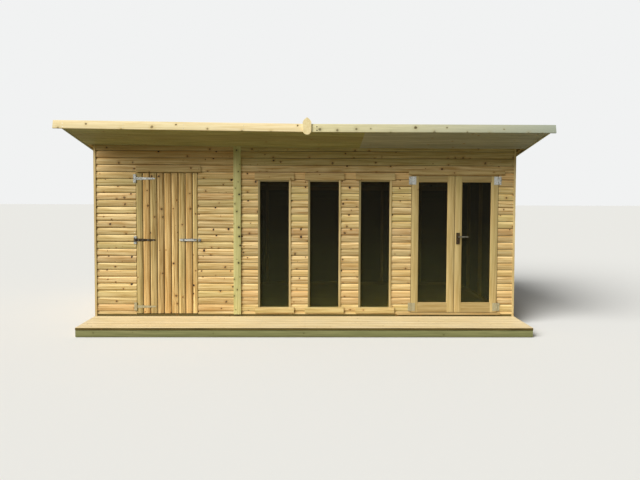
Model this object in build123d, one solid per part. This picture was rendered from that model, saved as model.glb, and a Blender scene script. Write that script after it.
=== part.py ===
from build123d import *
from math import cos, radians, tan
import os

os.makedirs("parts", exist_ok=True)

# Frame: X = 0 middle of the front, Y = 0 outer face of the front wall
# with +Y to the back, Z = 0 the ground. All sizes in millimetres.

# House
house_width = 5490
body_depth = 2440
wall_height = 2198
cladding_t = 19
stud = 44
bead_leg = 26
bead_t = 8
touch_gap = 1

# Floor and deck
joist_w = 45
joist_h = 90
joist_bays = 10
floor_t = 18
deck_depth = 609
deck_t = 28
deck_boards = 5
deck_board_gap = 4
skirt_t = 18
skirt_lift = 6
skirt_gap = 4
skirt_inset = 6

# Frames of the walls, and the line that the openings hang from
base_rail_h = 34
head_band_h = 326
plate_drop = 40
back_stud_bays = 8
side_stud_bays = 4

# Roof, measured in its own sloping frame
roof_kink_x = 16
roof_pitch = 11.8
roof_left_lift = 0.65
left_oversail = 110
right_oversail = 145
front_oversail = 682
rear_oversail = 50
soffit_t = 12
soffit_back_gap = 0.5
rafter_w = 45
rafter_h = 62
rafter_bays = 4
roof_board_t = 12
felt_t = 3
fascia_t = 20
fascia_h = 98
fascia_drop = 6
fascia_past_left = 100
fascia_past_right = 60
board_t = 18
board_rise = 4
roof_joint = 2

# Finial on the fascia joint
finial_w = 102
finial_top = 167
finial_bottom = -45
finial_t = 18
finial_seat = 0.6

# Places along the front, as shares of the wall's half width
shed_door_at = -0.65875
strip_at = -0.32444
windows_at = (-0.1476, 0.0906, 0.33285)
french_doors_at = 0.71355

# Shed door
shed_door_w = 790
shed_sill_gap = 10
shed_board_t = 14
ledge_t = 20
ledge_h = 95
ledge_inset = 22
ledge_foot = 88
ledge_head = 71
ledge_middle = 0.525
door_gap = 6
stop_t = 12
stop_reach = 14

# French doors
french_pair_w = 1132
french_head_drop = 27
french_meeting_gap = 8
french_t = 40
french_stile = 88
french_top_rail = 76
french_bottom_rail = 123

# Fixed windows
window_glass_w = 376
window_sill_lift = 117
window_side_bead = 27
window_end_bead = 20
window_frame_t = 44
window_bead_proud = 6
window_bead_set = 2
glass_t = 4
glass_y = 16
glass_rebate = 9

# Trims on the front wall
trim_t = 18
window_trim_len = 512
window_trim_h = 90
window_sill_h = 73
shed_trim_len = 837
shed_trim_shift = 26.5
shed_trim_lift = 6
shed_trim_h = 76
french_trim_len = 1252
french_trim_shift = 18
french_trim_lift = 12
french_trim_h = 58
strip_w = 96
threshold_len = 1357
threshold_shift = -69.5
threshold_lift = 20
threshold_h = 26
threshold_t = 14

# Hinges, with their pins just outside the wall's face
pin_y = -6
pin_r = 2.4
knuckle_r = 5
knuckle_bore = 3
knuckle_clear = 1
plate_t = 3
plate_h = 106
plate_relief = 7
tab_step = 0.5
fixed_plate_w = 28
french_leaf_plate_w = 52
french_hinge_foot = 68
french_hinge_head = 58
strap_len = 250
strap_root = 38
strap_tip = 20

# Pad bolt
bolt_y = -14
bolt_r = 6
bolt_bore = 7
bolt_end = 8
bolt_len = 222
bolt_plate_len = 216
bolt_plate_h = 36
staple_far = 176
staple_near = 30
staple_w = 14
staple_h = 24
keep_gap = 4
keep_len = 36
knob_r = 4.5
knob_len = 22
knob_shift = -20

# Lever handle
lever_from_middle = 45
lever_rise = 998
lever_len = 119
lever_h = 16
lever_bar_t = 11
lever_reach = 48
hub_r = 10
hub_gap = 1
spindle_r = 4
spindle_len = 8
spindle_bore = 4.6
handle_plate_w = 46
handle_plate_below = 101
handle_plate_above = 49
handle_plate_t = 7

# Sizes that follow from the ones above
half_width = house_width / 2
body_half_width = half_width - bead_t
far = house_width + body_depth
slope = tan(radians(roof_pitch))
floor_top = joist_h + floor_t
deck_top = joist_h + deck_t
cladding_z0 = floor_top + base_rail_h
plate_top = floor_top + stud
roof_start_z = deck_top + wall_height
opening_line = roof_start_z - head_band_h
inner_y = cladding_t + stud
back_y = body_depth - cladding_t
inner_half = body_half_width - cladding_t
front_plate_z = roof_start_z - slope * inner_y - plate_drop
back_plate_z = roof_start_z - slope * back_y - plate_drop

window_centres = [share * body_half_width for share in windows_at]
window_half = window_glass_w / 2 + window_side_bead
window_z0 = deck_top + window_sill_lift
window_hole_z0 = window_z0 - window_end_bead
window_hole_z1 = opening_line - window_trim_h
window_z1 = window_hole_z1 - window_end_bead

shed_middle = shed_door_at * body_half_width
shed_x0 = shed_middle - shed_door_w / 2
shed_x1 = shed_middle + shed_door_w / 2
shed_z0 = cladding_z0 + shed_sill_gap
shed_z1 = opening_line - door_gap
shed_open_x0 = shed_x0 - door_gap
shed_open_x1 = shed_x1 + door_gap
shed_mid_z = shed_z0 + ledge_middle * (shed_z1 - shed_z0)
ledge_levels = (shed_z0 + ledge_foot, shed_mid_z, shed_z1 - ledge_head)

threshold_z0 = deck_top + threshold_lift
threshold_z1 = threshold_z0 + threshold_h
french_middle = french_doors_at * body_half_width
french_x0 = french_middle - french_pair_w / 2
french_x1 = french_middle + french_pair_w / 2
french_open_x0 = french_x0 - door_gap
french_open_x1 = french_x1 + door_gap
french_open_z1 = opening_line - french_head_drop
french_z0 = threshold_z1 + door_gap
french_z1 = french_open_z1 - door_gap
french_stop_y = french_t + door_gap
french_hinge_levels = (french_z0 + french_hinge_foot, french_z1 - french_hinge_head)

strip_x0 = strip_at * body_half_width - strip_w / 2
strip_x1 = strip_x0 + strip_w

bolt_z = shed_mid_z
bolt_x1 = shed_x1 - bolt_end
bolt_x0 = bolt_x1 - bolt_len
bolt_staples = (bolt_x1 - staple_far, bolt_x1 - staple_near)
keep_x0 = shed_open_x1 + keep_gap
keep_x1 = keep_x0 + keep_len
lever_x = french_middle + lever_from_middle
lever_z = french_z0 + lever_rise

rafter_z0 = soffit_t
rafter_z1 = rafter_z0 + rafter_h
boards_z1 = rafter_z1 + roof_board_t
felt_z1 = boards_z1 + felt_t
eave = -front_oversail + fascia_t
roof_back = (body_depth + rear_oversail) / cos(radians(roof_pitch))
roof_left_x = -(half_width + left_oversail + roof_kink_x - board_t)
roof_right_x = half_width + right_oversail - roof_kink_x - board_t
roof_right = Pos(roof_kink_x, 0, roof_start_z) * Rot(-roof_pitch, 0, 0)
roof_left = roof_right * Rot(0, roof_left_lift, 0)


def block(x0, x1, y0, y1, z0, z1):
    """Return a box between two corners."""
    size = Box(x1 - x0, y1 - y0, z1 - z0)
    return Pos((x0 + x1) / 2, (y0 + y1) / 2, (z0 + z1) / 2) * size


def plate_xz(points, y0, y1):
    """Return a plate whose outline is drawn in X and Z."""
    outline = make_face(Polyline(*[(x, y0, z) for x, z in points], close=True))
    return extrude(outline, amount=y1 - y0, dir=(0, 1, 0))


def upright(x, y, r, z0, z1):
    """Return a vertical round bar."""
    return Pos(x, y, (z0 + z1) / 2) * Cylinder(r, z1 - z0)


def save(name, solids):
    """Write one node's solids to its STEP file."""
    pieces = list(solids)
    shape = pieces[0] if len(pieces) == 1 else Compound(children=pieces)
    export_step(shape, f"parts/{name}.step")


def under_roof(solid):
    """Cut a wall piece off at the rafters' underside."""
    left = roof_left * block(-far, 0, -far, far, rafter_z0, far)
    right = roof_right * block(0, far, -far, far, rafter_z0, far)
    return solid - left - right


def floor_and_deck():
    """Joists, floor panel, deck boards and the skirt in front."""
    step = (house_width - joist_w) / joist_bays
    y0 = -deck_depth + skirt_inset + skirt_t
    joists = []
    for i in range(joist_bays + 1):
        x = -half_width + i * step
        joists.append(block(x, x + joist_w, y0, back_y, 0, joist_h))
    save("floor_joists", joists)
    save("floor_panel", [block(-body_half_width, body_half_width, 0, body_depth, joist_h, floor_top)])
    pitch = (deck_depth - deck_board_gap) / deck_boards
    boards = []
    for i in range(deck_boards):
        y = -deck_depth + i * pitch
        boards.append(block(-half_width, half_width, y, y + pitch - deck_board_gap, joist_h, deck_top))
    save("deck_boards", boards)
    skirt = block(-half_width, half_width, y0 - skirt_t, y0, skirt_lift, joist_h - skirt_gap)
    save("deck_skirt", [skirt])


def base_and_plates():
    """Base rails under the cladding, and the plates of the frames."""
    y1 = body_depth
    w = body_half_width
    rails = [
        block(-w, w, 0, cladding_t, floor_top, cladding_z0),
        block(-w, w, y1 - cladding_t, y1, floor_top, cladding_z0),
        block(-w, -inner_half, cladding_t + touch_gap, back_y - touch_gap, floor_top, cladding_z0),
        block(inner_half, w, cladding_t + touch_gap, back_y - touch_gap, floor_top, cladding_z0),
    ]
    save("base_rails", rails)
    s = inner_half - stud
    plates = [
        block(-inner_half, inner_half, cladding_t, inner_y, floor_top, plate_top),
        block(-inner_half, inner_half, back_y - stud, back_y, floor_top, plate_top),
        block(-inner_half, -s, inner_y + touch_gap, back_y - stud - touch_gap, floor_top, plate_top),
        block(s, inner_half, inner_y + touch_gap, back_y - stud - touch_gap, floor_top, plate_top),
        under_roof(block(-inner_half, inner_half, cladding_t, inner_y, front_plate_z, far)),
        under_roof(block(-inner_half, inner_half, back_y - stud, back_y, back_plate_z, far)),
    ]
    save("wall_plates", plates)


def front_stud_positions():
    """Left faces of the studs in the front wall."""
    xs = [-inner_half, shed_open_x0 - stud, shed_open_x1, (strip_x0 + strip_x1 - stud) / 2]
    for c in window_centres:
        xs += [c - window_half - stud, c + window_half]
    xs += [french_open_x0 - stud, french_open_x1, inner_half - stud]
    return xs


def studs():
    """Upright studs and the rails beside the openings."""
    front = []
    for x in front_stud_positions():
        front.append(block(x, x + stud, cladding_t, inner_y, plate_top, front_plate_z))
    save("front_studs", front)
    rails = [block(shed_open_x0, shed_open_x1, cladding_t, inner_y, opening_line, opening_line + stud)]
    for c in window_centres:
        x0 = c - window_half
        x1 = c + window_half
        rails.append(block(x0, x1, cladding_t, inner_y, window_hole_z1, window_hole_z1 + stud))
        rails.append(block(x0, x1, cladding_t, inner_y, window_hole_z0 - stud, window_hole_z0))
    rails.append(block(french_open_x0, french_open_x1, cladding_t, inner_y,
                       french_open_z1, french_open_z1 + stud))
    save("front_rails", rails)
    others = []
    step = (2 * inner_half - stud) / back_stud_bays
    for i in range(back_stud_bays + 1):
        x = -inner_half + i * step
        others.append(block(x, x + stud, back_y - stud, back_y, plate_top, back_plate_z))
    gap = (back_y - stud - inner_y) / side_stud_bays
    for side in (-1, 1):
        for i in range(1, side_stud_bays):
            y = inner_y + i * gap - stud / 2
            x0 = -inner_half if side < 0 else inner_half - stud
            others.append(under_roof(block(x0, x0 + stud, y, y + stud, plate_top, far)))
    save("wall_studs", others)


def front_wall():
    """Cladding of the front wall around its doors and windows."""
    xs = [-body_half_width, shed_open_x0, shed_open_x1]
    for c in window_centres:
        xs += [c - window_half, c + window_half]
    xs += [french_open_x0, french_open_x1, body_half_width]
    piers = []
    for x0, x1 in zip(xs[0::2], xs[1::2]):
        piers.append(block(x0, x1, 0, cladding_t, cladding_z0, opening_line))
    save("front_wall_piers", piers)
    head = block(-body_half_width, body_half_width, 0, cladding_t, opening_line, far)
    save("front_wall_head", [under_roof(head)])
    infills = []
    for c in window_centres:
        x0 = c - window_half
        x1 = c + window_half
        infills.append(block(x0, x1, 0, cladding_t, cladding_z0, window_hole_z0))
        infills.append(block(x0, x1, 0, cladding_t, window_hole_z1, opening_line))
    infills.append(block(french_open_x0, french_open_x1, 0, cladding_t, french_open_z1, opening_line))
    save("front_wall_infills", infills)


def other_walls():
    """Side and back walls, the corner beads and the cover strip."""
    y0 = cladding_t
    left = block(-body_half_width, -inner_half, y0, back_y, cladding_z0, far)
    right = block(inner_half, body_half_width, y0, back_y, cladding_z0, far)
    back = block(-body_half_width, body_half_width, back_y, body_depth, cladding_z0, far)
    save("left_wall", [under_roof(left)])
    save("right_wall", [under_roof(right)])
    save("back_wall", [under_roof(back)])
    beads = []
    for sx in (-1, 1):
        for front in (True, False):
            out_x = sx * (body_half_width + bead_t)
            in_x = out_x - sx * bead_leg
            face_y = 0 if front else body_depth
            dy = -1 if front else 1
            out_y = face_y + dy * bead_t
            in_y = out_y - dy * bead_leg
            xa, xb = sorted((out_x, in_x))
            ya, yb = sorted((out_y, in_y))
            bead = block(xa, xb, ya, yb, deck_top, far)
            inner = block(-body_half_width, body_half_width, 0, body_depth, 0, far)
            beads.append(under_roof(under_soffit(bead - inner)))
    save("corner_beads", beads)
    strip = block(strip_x0, strip_x1, -trim_t, 0, cladding_z0, far)
    save("cover_strip", [under_soffit(strip)])


def under_soffit(solid):
    """Cut a piece on the front face off below the soffit."""
    front = block(-far, far, -far, 0, 0, far)
    left = roof_left * block(-far, 0, -far, fascia_t * 3, -touch_gap, far) & front
    right = roof_right * block(0, far, -far, fascia_t * 3, -touch_gap, far) & front
    return solid - left - right


def windows():
    """Fixed windows: frames with side beads, glass, head trims and sills."""
    frames = []
    glass = []
    trims = []
    half = window_glass_w / 2
    sill_top = window_z0 - window_bead_set
    for c in window_centres:
        ring = block(c - window_half, c + window_half, 0, window_frame_t, window_hole_z0, window_hole_z1)
        beads = block(c - window_half + window_bead_set, c + window_half - window_bead_set,
                      -window_bead_proud, 0, sill_top, window_hole_z1)
        hole = block(c - half, c + half, -far, far, window_z0, window_z1)
        pane = block(c - half - glass_rebate, c + half + glass_rebate, glass_y, glass_y + glass_t,
                     window_z0 - glass_rebate, window_z1 + glass_rebate)
        frames.append(ring + beads - hole - pane)
        glass.append(pane)
        x0 = c - window_trim_len / 2
        x1 = c + window_trim_len / 2
        trims.append(block(x0, x1, -trim_t, 0, window_hole_z1, window_hole_z1 + window_trim_h))
        trims.append(block(x0, x1, -trim_t, 0, sill_top - window_sill_h, sill_top))
    save("window_frames", frames)
    save("window_glass", glass)
    save("window_trims", trims)


def door_surrounds():
    """Head trims, threshold and the stops inside both doorways."""
    x0 = shed_middle + shed_trim_shift - shed_trim_len / 2
    z0 = opening_line + shed_trim_lift
    shed_trim = block(x0, x0 + shed_trim_len, -trim_t, 0, z0, z0 + shed_trim_h)
    x0 = french_middle + french_trim_shift - french_trim_len / 2
    z0 = french_open_z1 + french_trim_lift
    french_trim = block(x0, x0 + french_trim_len, -trim_t, 0, z0, z0 + french_trim_h)
    save("door_trims", [shed_trim, french_trim])
    x0 = french_middle + threshold_shift - threshold_len / 2
    face = block(x0, x0 + threshold_len, -threshold_t, 0, threshold_z0, threshold_z1)
    tread = block(french_open_x0, french_open_x1, 0, inner_y, plate_top, threshold_z1)
    nose = block(french_open_x0, french_open_x1, 0, cladding_t, cladding_z0, plate_top)
    save("french_threshold", [face + tread + nose])
    y0 = cladding_t
    y1 = y0 + stop_t
    z1 = opening_line
    fy0 = french_stop_y
    fy1 = inner_y
    fz0 = threshold_z1
    fz1 = french_open_z1
    reach = stop_reach
    g = touch_gap
    stops = [
        block(shed_open_x0, shed_open_x0 + reach, y0, y1, plate_top, z1),
        block(shed_open_x1 - reach, shed_open_x1, y0, y1, plate_top, z1),
        block(shed_open_x0 + reach + g, shed_open_x1 - reach - g, y0, y1, z1 - reach, z1),
        block(french_open_x0, french_open_x0 + reach, fy0, fy1, fz0, fz1),
        block(french_open_x1 - reach, french_open_x1, fy0, fy1, fz0, fz1),
        block(french_open_x0 + reach + g, french_open_x1 - reach - g, fy0, fy1, fz1 - reach, fz1),
    ]
    save("door_stops", stops)


def rafter_positions():
    """Left faces of the rafters in each half, from the roof's joint."""
    wall = body_half_width + roof_kink_x
    left = [roof_left_x, -wall]
    inner_first = -wall + rafter_w
    bay = (-roof_joint - rafter_w - inner_first + rafter_w) / rafter_bays
    for i in range(1, rafter_bays + 1):
        left.append(-wall + i * bay)
    right = [roof_joint]
    wall_right = body_half_width - roof_kink_x - rafter_w
    bay = (wall_right - roof_joint) / rafter_bays
    for i in range(1, rafter_bays + 1):
        right.append(roof_joint + i * bay)
    right.append(roof_right_x - rafter_w)
    return left, right


def roof():
    """Rafters, boarded deck, felt, soffit and the boards at the edges."""
    left, right = rafter_positions()
    rafters = []
    for place, xs in ((roof_left, left), (roof_right, right)):
        for x in xs:
            rafters.append(place * block(x, x + rafter_w, eave, roof_back, rafter_z0, rafter_z1))
    save("rafters", rafters)
    halves = ((roof_left, roof_left_x, -roof_joint), (roof_right, roof_joint, roof_right_x))
    save("roof_boards", [p * block(a, b, eave, roof_back, rafter_z1, boards_z1) for p, a, b in halves])
    save("roof_felt", [p * block(a, b, eave, roof_back, boards_z1, felt_z1) for p, a, b in halves])
    house = block(-far, far, -soffit_back_gap, far, 0, far)
    soffit_y1 = fascia_t * 3
    save("front_soffit", [p * block(a, b, eave, soffit_y1, 0, rafter_z0) - house for p, a, b in halves])
    low = -fascia_drop
    top = felt_z1 + board_rise
    barge_left = roof_left * block(roof_left_x - board_t, roof_left_x, eave, roof_back, low, top)
    barge_right = roof_right * block(roof_right_x, roof_right_x + board_t, eave, roof_back, low, top)
    save("bargeboards", [barge_left, barge_right])
    x0 = roof_left_x - board_t - fascia_past_left
    x1 = roof_right_x + board_t + fascia_past_right
    front_left = block(x0, -roof_joint, -front_oversail, eave, low, low + fascia_h)
    front_right = block(roof_joint, x1, -front_oversail, eave, low, low + fascia_h)
    save("front_fascia", [roof_left * front_left, roof_right * front_right])
    rear = []
    for p, a, b in halves:
        x0 = a - board_t if a < 0 else a
        x1 = b if b < 0 else b + board_t
        rear.append(p * block(x0, x1, roof_back, roof_back + board_t, low, top))
    save("rear_fascia", rear)


def finial():
    """Shield-shaped finial over the joint of the two fascia boards."""
    half = finial_w / 2
    low = finial_bottom
    shoulder = finial_top - half * 1.15
    curve_z = low + half * 1.1
    y1 = -front_oversail - finial_seat
    y0 = y1 - finial_t
    outline = [
        (0, finial_top),
        (half * 0.52, finial_top - half * 0.42),
        (half * 0.86, finial_top - half * 0.86),
        (half, shoulder),
        (half, curve_z),
        (half * 0.92, curve_z - half * 0.42),
        (half * 0.7, curve_z - half * 0.78),
        (half * 0.37, curve_z - half * 1.02),
        (0, low),
    ]
    mirrored = [(-x, z) for x, z in reversed(outline[1:-1])]
    save("finial", [roof_right * plate_xz(outline + mirrored, y0, y1)])


def hinge_knuckles(x, z):
    """Return the fixed and the moving barrels of one hinge."""
    end = plate_h / 2
    third = plate_h / 6
    fixed = upright(x, pin_y, knuckle_r, z - end, z - third - knuckle_clear)
    fixed = fixed + upright(x, pin_y, knuckle_r, z + third + knuckle_clear, z + end)
    fixed = fixed + upright(x, pin_y, pin_r, z - end, z + end)
    moving = upright(x, pin_y, knuckle_r, z - third, z + third)
    moving = moving - upright(x, pin_y, knuckle_bore, z - end, z + end)
    return fixed, moving


def hinge_fixed_plate(x, side, z):
    """Return the plate of one hinge that is screwed to the wall."""
    end = plate_h / 2
    third = plate_h / 6
    xa, xb = sorted((x + side * plate_relief, x + side * (plate_relief + fixed_plate_w)))
    plate = block(xa, xb, -plate_t, 0, z - end, z + end)
    ta, tb = sorted((x + side * (pin_r + knuckle_clear), x + side * plate_relief))
    for z0, z1 in ((z - end, z - third - knuckle_clear), (z + third + knuckle_clear, z + end)):
        plate = plate + block(ta, tb, -plate_t, -tab_step, z0, z1)
    return plate


def shed_strap(x, z):
    """Return the long tapered strap of one T hinge."""
    third = plate_h / 6
    x0 = x + plate_relief
    x1 = x + strap_len
    a = strap_root / 2
    b = strap_tip / 2
    outline = [(x0, z - a), (x1 - b, z - b), (x1, z - b / 2), (x1, z + b / 2), (x1 - b, z + b), (x0, z + a)]
    strap = plate_xz(outline, -plate_t, 0)
    tab = block(x + knuckle_bore + tab_step, x0, -plate_t, -tab_step, z - third, z + third)
    return strap + tab


def french_leaf_plate(x, side, z):
    """Return the plate of one hinge that is screwed to a French leaf."""
    end = plate_h / 2
    third = plate_h / 6
    xa, xb = sorted((x + side * plate_relief, x + side * (plate_relief + french_leaf_plate_w)))
    plate = block(xa, xb, -plate_t, 0, z - end, z + end)
    ta, tb = sorted((x + side * (knuckle_bore + tab_step), x + side * plate_relief))
    return plate + block(ta, tb, -plate_t, -tab_step, z - third, z + third)


def hinges():
    """All hinges, as what stays on the wall and what moves."""
    fixed = []
    straps = []
    shed_pin = shed_x0 - door_gap / 2
    for z in ledge_levels:
        still, moving = hinge_knuckles(shed_pin, z)
        fixed.append(still + hinge_fixed_plate(shed_pin, -1, z))
        straps.append(moving + shed_strap(shed_pin, z))
    leaves = {"left": [], "right": []}
    sides = (("left", french_x0 - door_gap / 2, 1), ("right", french_x1 + door_gap / 2, -1))
    for name, pin_x, side in sides:
        for z in french_hinge_levels:
            still, moving = hinge_knuckles(pin_x, z)
            fixed.append(still + hinge_fixed_plate(pin_x, -side, z))
            leaves[name].append(moving + french_leaf_plate(pin_x, side, z))
    save("hinge_plates", fixed)
    save("shed_door_straps", straps)
    save("french_left_hinges", leaves["left"])
    save("french_right_hinges", leaves["right"])


def shed_door():
    """Boarded leaf with ledges and braces behind it."""
    save("shed_door_boards", [block(shed_x0, shed_x1, 0, shed_board_t, shed_z0, shed_z1)])
    x0 = shed_x0 + ledge_inset
    x1 = shed_x1 - ledge_inset
    y0 = shed_board_t
    y1 = y0 + ledge_t
    frame = None
    for z in ledge_levels:
        ledge = block(x0, x1, y0, y1, z - ledge_h / 2, z + ledge_h / 2)
        frame = ledge if frame is None else frame + ledge
    for low, high in zip(ledge_levels[:-1], ledge_levels[1:]):
        za = low + ledge_h / 2
        zb = high - ledge_h / 2
        w = ledge_h * 1.1
        brace = [(x0, za), (x0 + w, za), (x1, zb), (x1 - w, zb)]
        frame = frame + plate_xz(brace, y0, y1)
    save("shed_door_frame", [frame])


def pad_bolt():
    """Pad bolt: guide on the leaf, sliding rod, and keep on the wall."""
    z0 = bolt_z - bolt_plate_h / 2
    z1 = bolt_z + bolt_plate_h / 2
    half = staple_h / 2
    bore = Pos(bolt_x1, bolt_y, bolt_z) * Rot(0, 90, 0) * Cylinder(bolt_bore, 4 * bolt_len)
    guide = block(bolt_x1 - bolt_plate_len, bolt_x1, -plate_t, 0, z0, z1)
    for x in bolt_staples:
        guide = guide + block(x, x + staple_w, bolt_y - half, -plate_t, bolt_z - half, bolt_z + half)
    save("bolt_guide", [guide - bore])
    keep = block(keep_x0, keep_x1, -plate_t, 0, z0, z1)
    mid = (keep_x0 + keep_x1) / 2
    keep = keep + block(mid - staple_w / 2, mid + staple_w / 2, bolt_y - half, -plate_t,
                        bolt_z - half, bolt_z + half)
    save("bolt_keep", [keep - bore])
    rod = Pos((bolt_x0 + bolt_x1) / 2, bolt_y, bolt_z) * Rot(0, 90, 0) * Cylinder(bolt_r, bolt_len)
    knob_x = (bolt_staples[0] + bolt_staples[1]) / 2 + knob_shift
    knob = Pos(knob_x, bolt_y - knob_len / 2, bolt_z) * Rot(90, 0, 0) * Cylinder(knob_r, knob_len)
    save("bolt_rod", [rod + knob])


def french_leaf(name, x0, x1):
    """One glazed leaf: stiles and rails in one frame, and its glass."""
    gx0 = x0 + french_stile
    gx1 = x1 - french_stile
    gz0 = french_z0 + french_bottom_rail
    gz1 = french_z1 - french_top_rail
    frame = block(x0, x1, 0, french_t, french_z0, french_z1)
    hole = block(gx0, gx1, -far, far, gz0, gz1)
    pane = block(gx0 - glass_rebate, gx1 + glass_rebate, glass_y, glass_y + glass_t,
                 gz0 - glass_rebate, gz1 + glass_rebate)
    save(f"french_{name}_frame", [frame - hole - pane])
    save(f"french_{name}_glass", [pane])


def lever_handle():
    """Handle plate on the right leaf and the lever that turns on it."""
    half = handle_plate_w / 2
    z0 = lever_z - handle_plate_below
    z1 = lever_z + handle_plate_above
    plate = block(lever_x - half, lever_x + half, -handle_plate_t, 0, z0, z1)
    bore = Pos(lever_x, 0, lever_z) * Rot(90, 0, 0) * Cylinder(spindle_bore, 4 * handle_plate_t)
    save("handle_plate", [plate - bore])
    hub_y0 = -handle_plate_t - hub_gap
    hub_y1 = -handle_plate_t - lever_reach
    hub = Pos(lever_x, (hub_y0 + hub_y1) / 2, lever_z) * Rot(90, 0, 0) * Cylinder(hub_r, hub_y0 - hub_y1)
    spindle_y = hub_y0 + spindle_len / 2 - hub_gap * 2
    spindle = Pos(lever_x, spindle_y, lever_z) * Rot(90, 0, 0) * Cylinder(spindle_r, spindle_len)
    bar = block(lever_x, lever_x + lever_len, hub_y1, hub_y1 + lever_bar_t,
                lever_z - lever_h / 2, lever_z + lever_h / 2)
    save("lever", [hub + spindle + bar])


floor_and_deck()
base_and_plates()
studs()
front_wall()
other_walls()
windows()
door_surrounds()
roof()
finial()
hinges()
shed_door()
pad_bolt()
french_leaf("left", french_x0, french_middle - french_meeting_gap / 2)
french_leaf("right", french_middle + french_meeting_gap / 2, french_x1)
lever_handle()
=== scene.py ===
"""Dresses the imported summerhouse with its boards, felt, glass, fittings and finishes."""

import logging
import math
import random
from collections.abc import Callable, Iterable
from dataclasses import dataclass, field
from enum import Enum
from functools import partial
from typing import Any

import bmesh
import bpy
from mathutils import Matrix, Vector


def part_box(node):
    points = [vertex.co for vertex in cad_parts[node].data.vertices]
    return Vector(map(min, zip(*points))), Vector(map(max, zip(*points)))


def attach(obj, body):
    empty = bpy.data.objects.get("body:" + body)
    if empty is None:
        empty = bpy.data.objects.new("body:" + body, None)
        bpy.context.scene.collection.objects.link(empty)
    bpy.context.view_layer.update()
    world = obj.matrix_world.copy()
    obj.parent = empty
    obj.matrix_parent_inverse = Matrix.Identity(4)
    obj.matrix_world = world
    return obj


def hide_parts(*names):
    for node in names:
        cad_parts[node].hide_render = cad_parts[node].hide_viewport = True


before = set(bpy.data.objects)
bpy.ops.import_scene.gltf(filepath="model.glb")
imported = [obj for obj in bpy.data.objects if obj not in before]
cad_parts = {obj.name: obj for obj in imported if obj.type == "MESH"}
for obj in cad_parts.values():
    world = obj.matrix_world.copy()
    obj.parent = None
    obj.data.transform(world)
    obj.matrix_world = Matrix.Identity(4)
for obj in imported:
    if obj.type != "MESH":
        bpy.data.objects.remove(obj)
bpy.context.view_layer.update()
NODES: dict[str, bpy.types.Object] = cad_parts
MM = 0.001
HOUSE = "building"
SHARP = math.radians(32)
WELD, TOUCH = 1e-6, 1e-7  # points nearer than this are one point, or lie in the saw's plane
EASE_LIMIT = 0.3  # an arris takes at most this share of a board's thickness
PATTERN_REACH = 40.0  # how far along the wood's pattern a board may start, in metres
WAVE_GAP = 0.314  # metres between the bands of a wave pattern of scale 1
NAIL_SIDES, SCREW_SIDES = 8, 16
SMOOTH = {"interpolation_type": "SMOOTHSTEP"}
UP, DOWN = Vector((0, 0, 1)), Vector((0, 0, -1))
RIGHT, LEFT = Vector((1, 0, 0)), Vector((-1, 0, 0))
BACK, FORTH = Vector((0, 1, 0)), Vector((0, -1, 0))

Span = tuple[float, float]
Box = tuple[Vector, Vector]
Plane = tuple[Vector, Vector]
Section = list[Span]
Values = dict[Any, Any]
Level = tuple[tuple[float, ...], float]
Adder = Callable[..., Any]
Socket, Tree = bpy.types.NodeSocket, bpy.types.NodeTree
Mesh, Material = bpy.types.Mesh, bpy.types.Material
BMesh, BMVert, BMEdge = bmesh.types.BMesh, bmesh.types.BMVert, bmesh.types.BMEdge
log = logging.getLogger("summerhouse")

# Class names of the nodes that are used more than once.
MATH, VECTORS = "ShaderNodeMath", "ShaderNodeVectorMath"
JOIN, SPLIT, CHANNELS = "ShaderNodeCombineXYZ", "ShaderNodeSeparateXYZ", "ShaderNodeSeparateColor"
RANGE, MIX, BUMP = "ShaderNodeMapRange", "ShaderNodeMix", "ShaderNodeBump"
NOISE, CELLS = "ShaderNodeTexNoise", "ShaderNodeTexVoronoi"
PLACE, ATTRIBUTE = "ShaderNodeTexCoord", "ShaderNodeAttribute"
NAMED, STORE = "GeometryNodeInputNamedAttribute", "GeometryNodeStoreNamedAttribute"
RANDOM, ON_POINTS = "FunctionNodeRandomValue", "GeometryNodeInstanceOnPoints"
OBJECT, REALIZE, COAT = "GeometryNodeObjectInfo", "GeometryNodeRealizeInstances", "GeometryNodeSetMaterial"


# ---------------------------------------------------------------- small tools


def linear(code: str) -> tuple[float, float, float, float]:
    """Turns an sRGB hex colour into Blender's linear colour.

    Args:
        code: the colour, such as "#c9ad71".

    Returns:
        Red, green, blue and an alpha of 1.
    """
    parts = [int(code[i : i + 2], 16) / 255 for i in (1, 3, 5)]
    r, g, b = (p / 12.92 if p <= 0.04045 else ((p + 0.055) / 1.055) ** 2.4 for p in parts)
    return r, g, b, 1.0


def add_node(tree: Tree, kind: str, given: Values | None = None) -> Any:
    """Adds a node with its settings and links.

    Args:
        tree: the node tree that gets it.
        kind: the node's class name.
        given: its properties by name, and its inputs by name or number, each with a value or with
            the socket that feeds it.

    Returns:
        The node's outputs.
    """
    node = tree.nodes.new(kind)
    for key, value in (given or {}).items():
        if isinstance(value, Socket):
            tree.links.new(value, node.inputs[key])
        elif isinstance(key, str) and hasattr(node, key):
            setattr(node, key, value)
        else:
            node.inputs[key].default_value = value
    return node.outputs


def new_material(
    name: str, draw: Callable[[Adder], Values], shader: str = "ShaderNodeBsdfPrincipled"
) -> Material:
    """Makes a material whose shader is fed by the nodes that a function draws.

    Args:
        name: the material's name.
        draw: draws the nodes and gives the shader's inputs.
        shader: the shader's class name.

    Returns:
        The material.
    """
    material = bpy.data.materials.new(name)
    material.use_nodes = True
    material.node_tree.nodes.clear()
    add = partial(add_node, material.node_tree)
    add("ShaderNodeOutputMaterial", {"Surface": add(shader, draw(add))[0]})
    return material


def islands(mesh: BMesh) -> list[list[BMVert]]:
    """Splits a mesh's points into its loose parts.

    Args:
        mesh: the mesh to look through.

    Returns:
        The points of each loose part.
    """
    left = set(mesh.verts)
    found = []
    while left:
        part = [left.pop()]
        for vert in part:
            near = {v for edge in vert.link_edges for v in edge.verts} & left
            left -= near
            part.extend(near)
        found.append(part)
    return found


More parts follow.
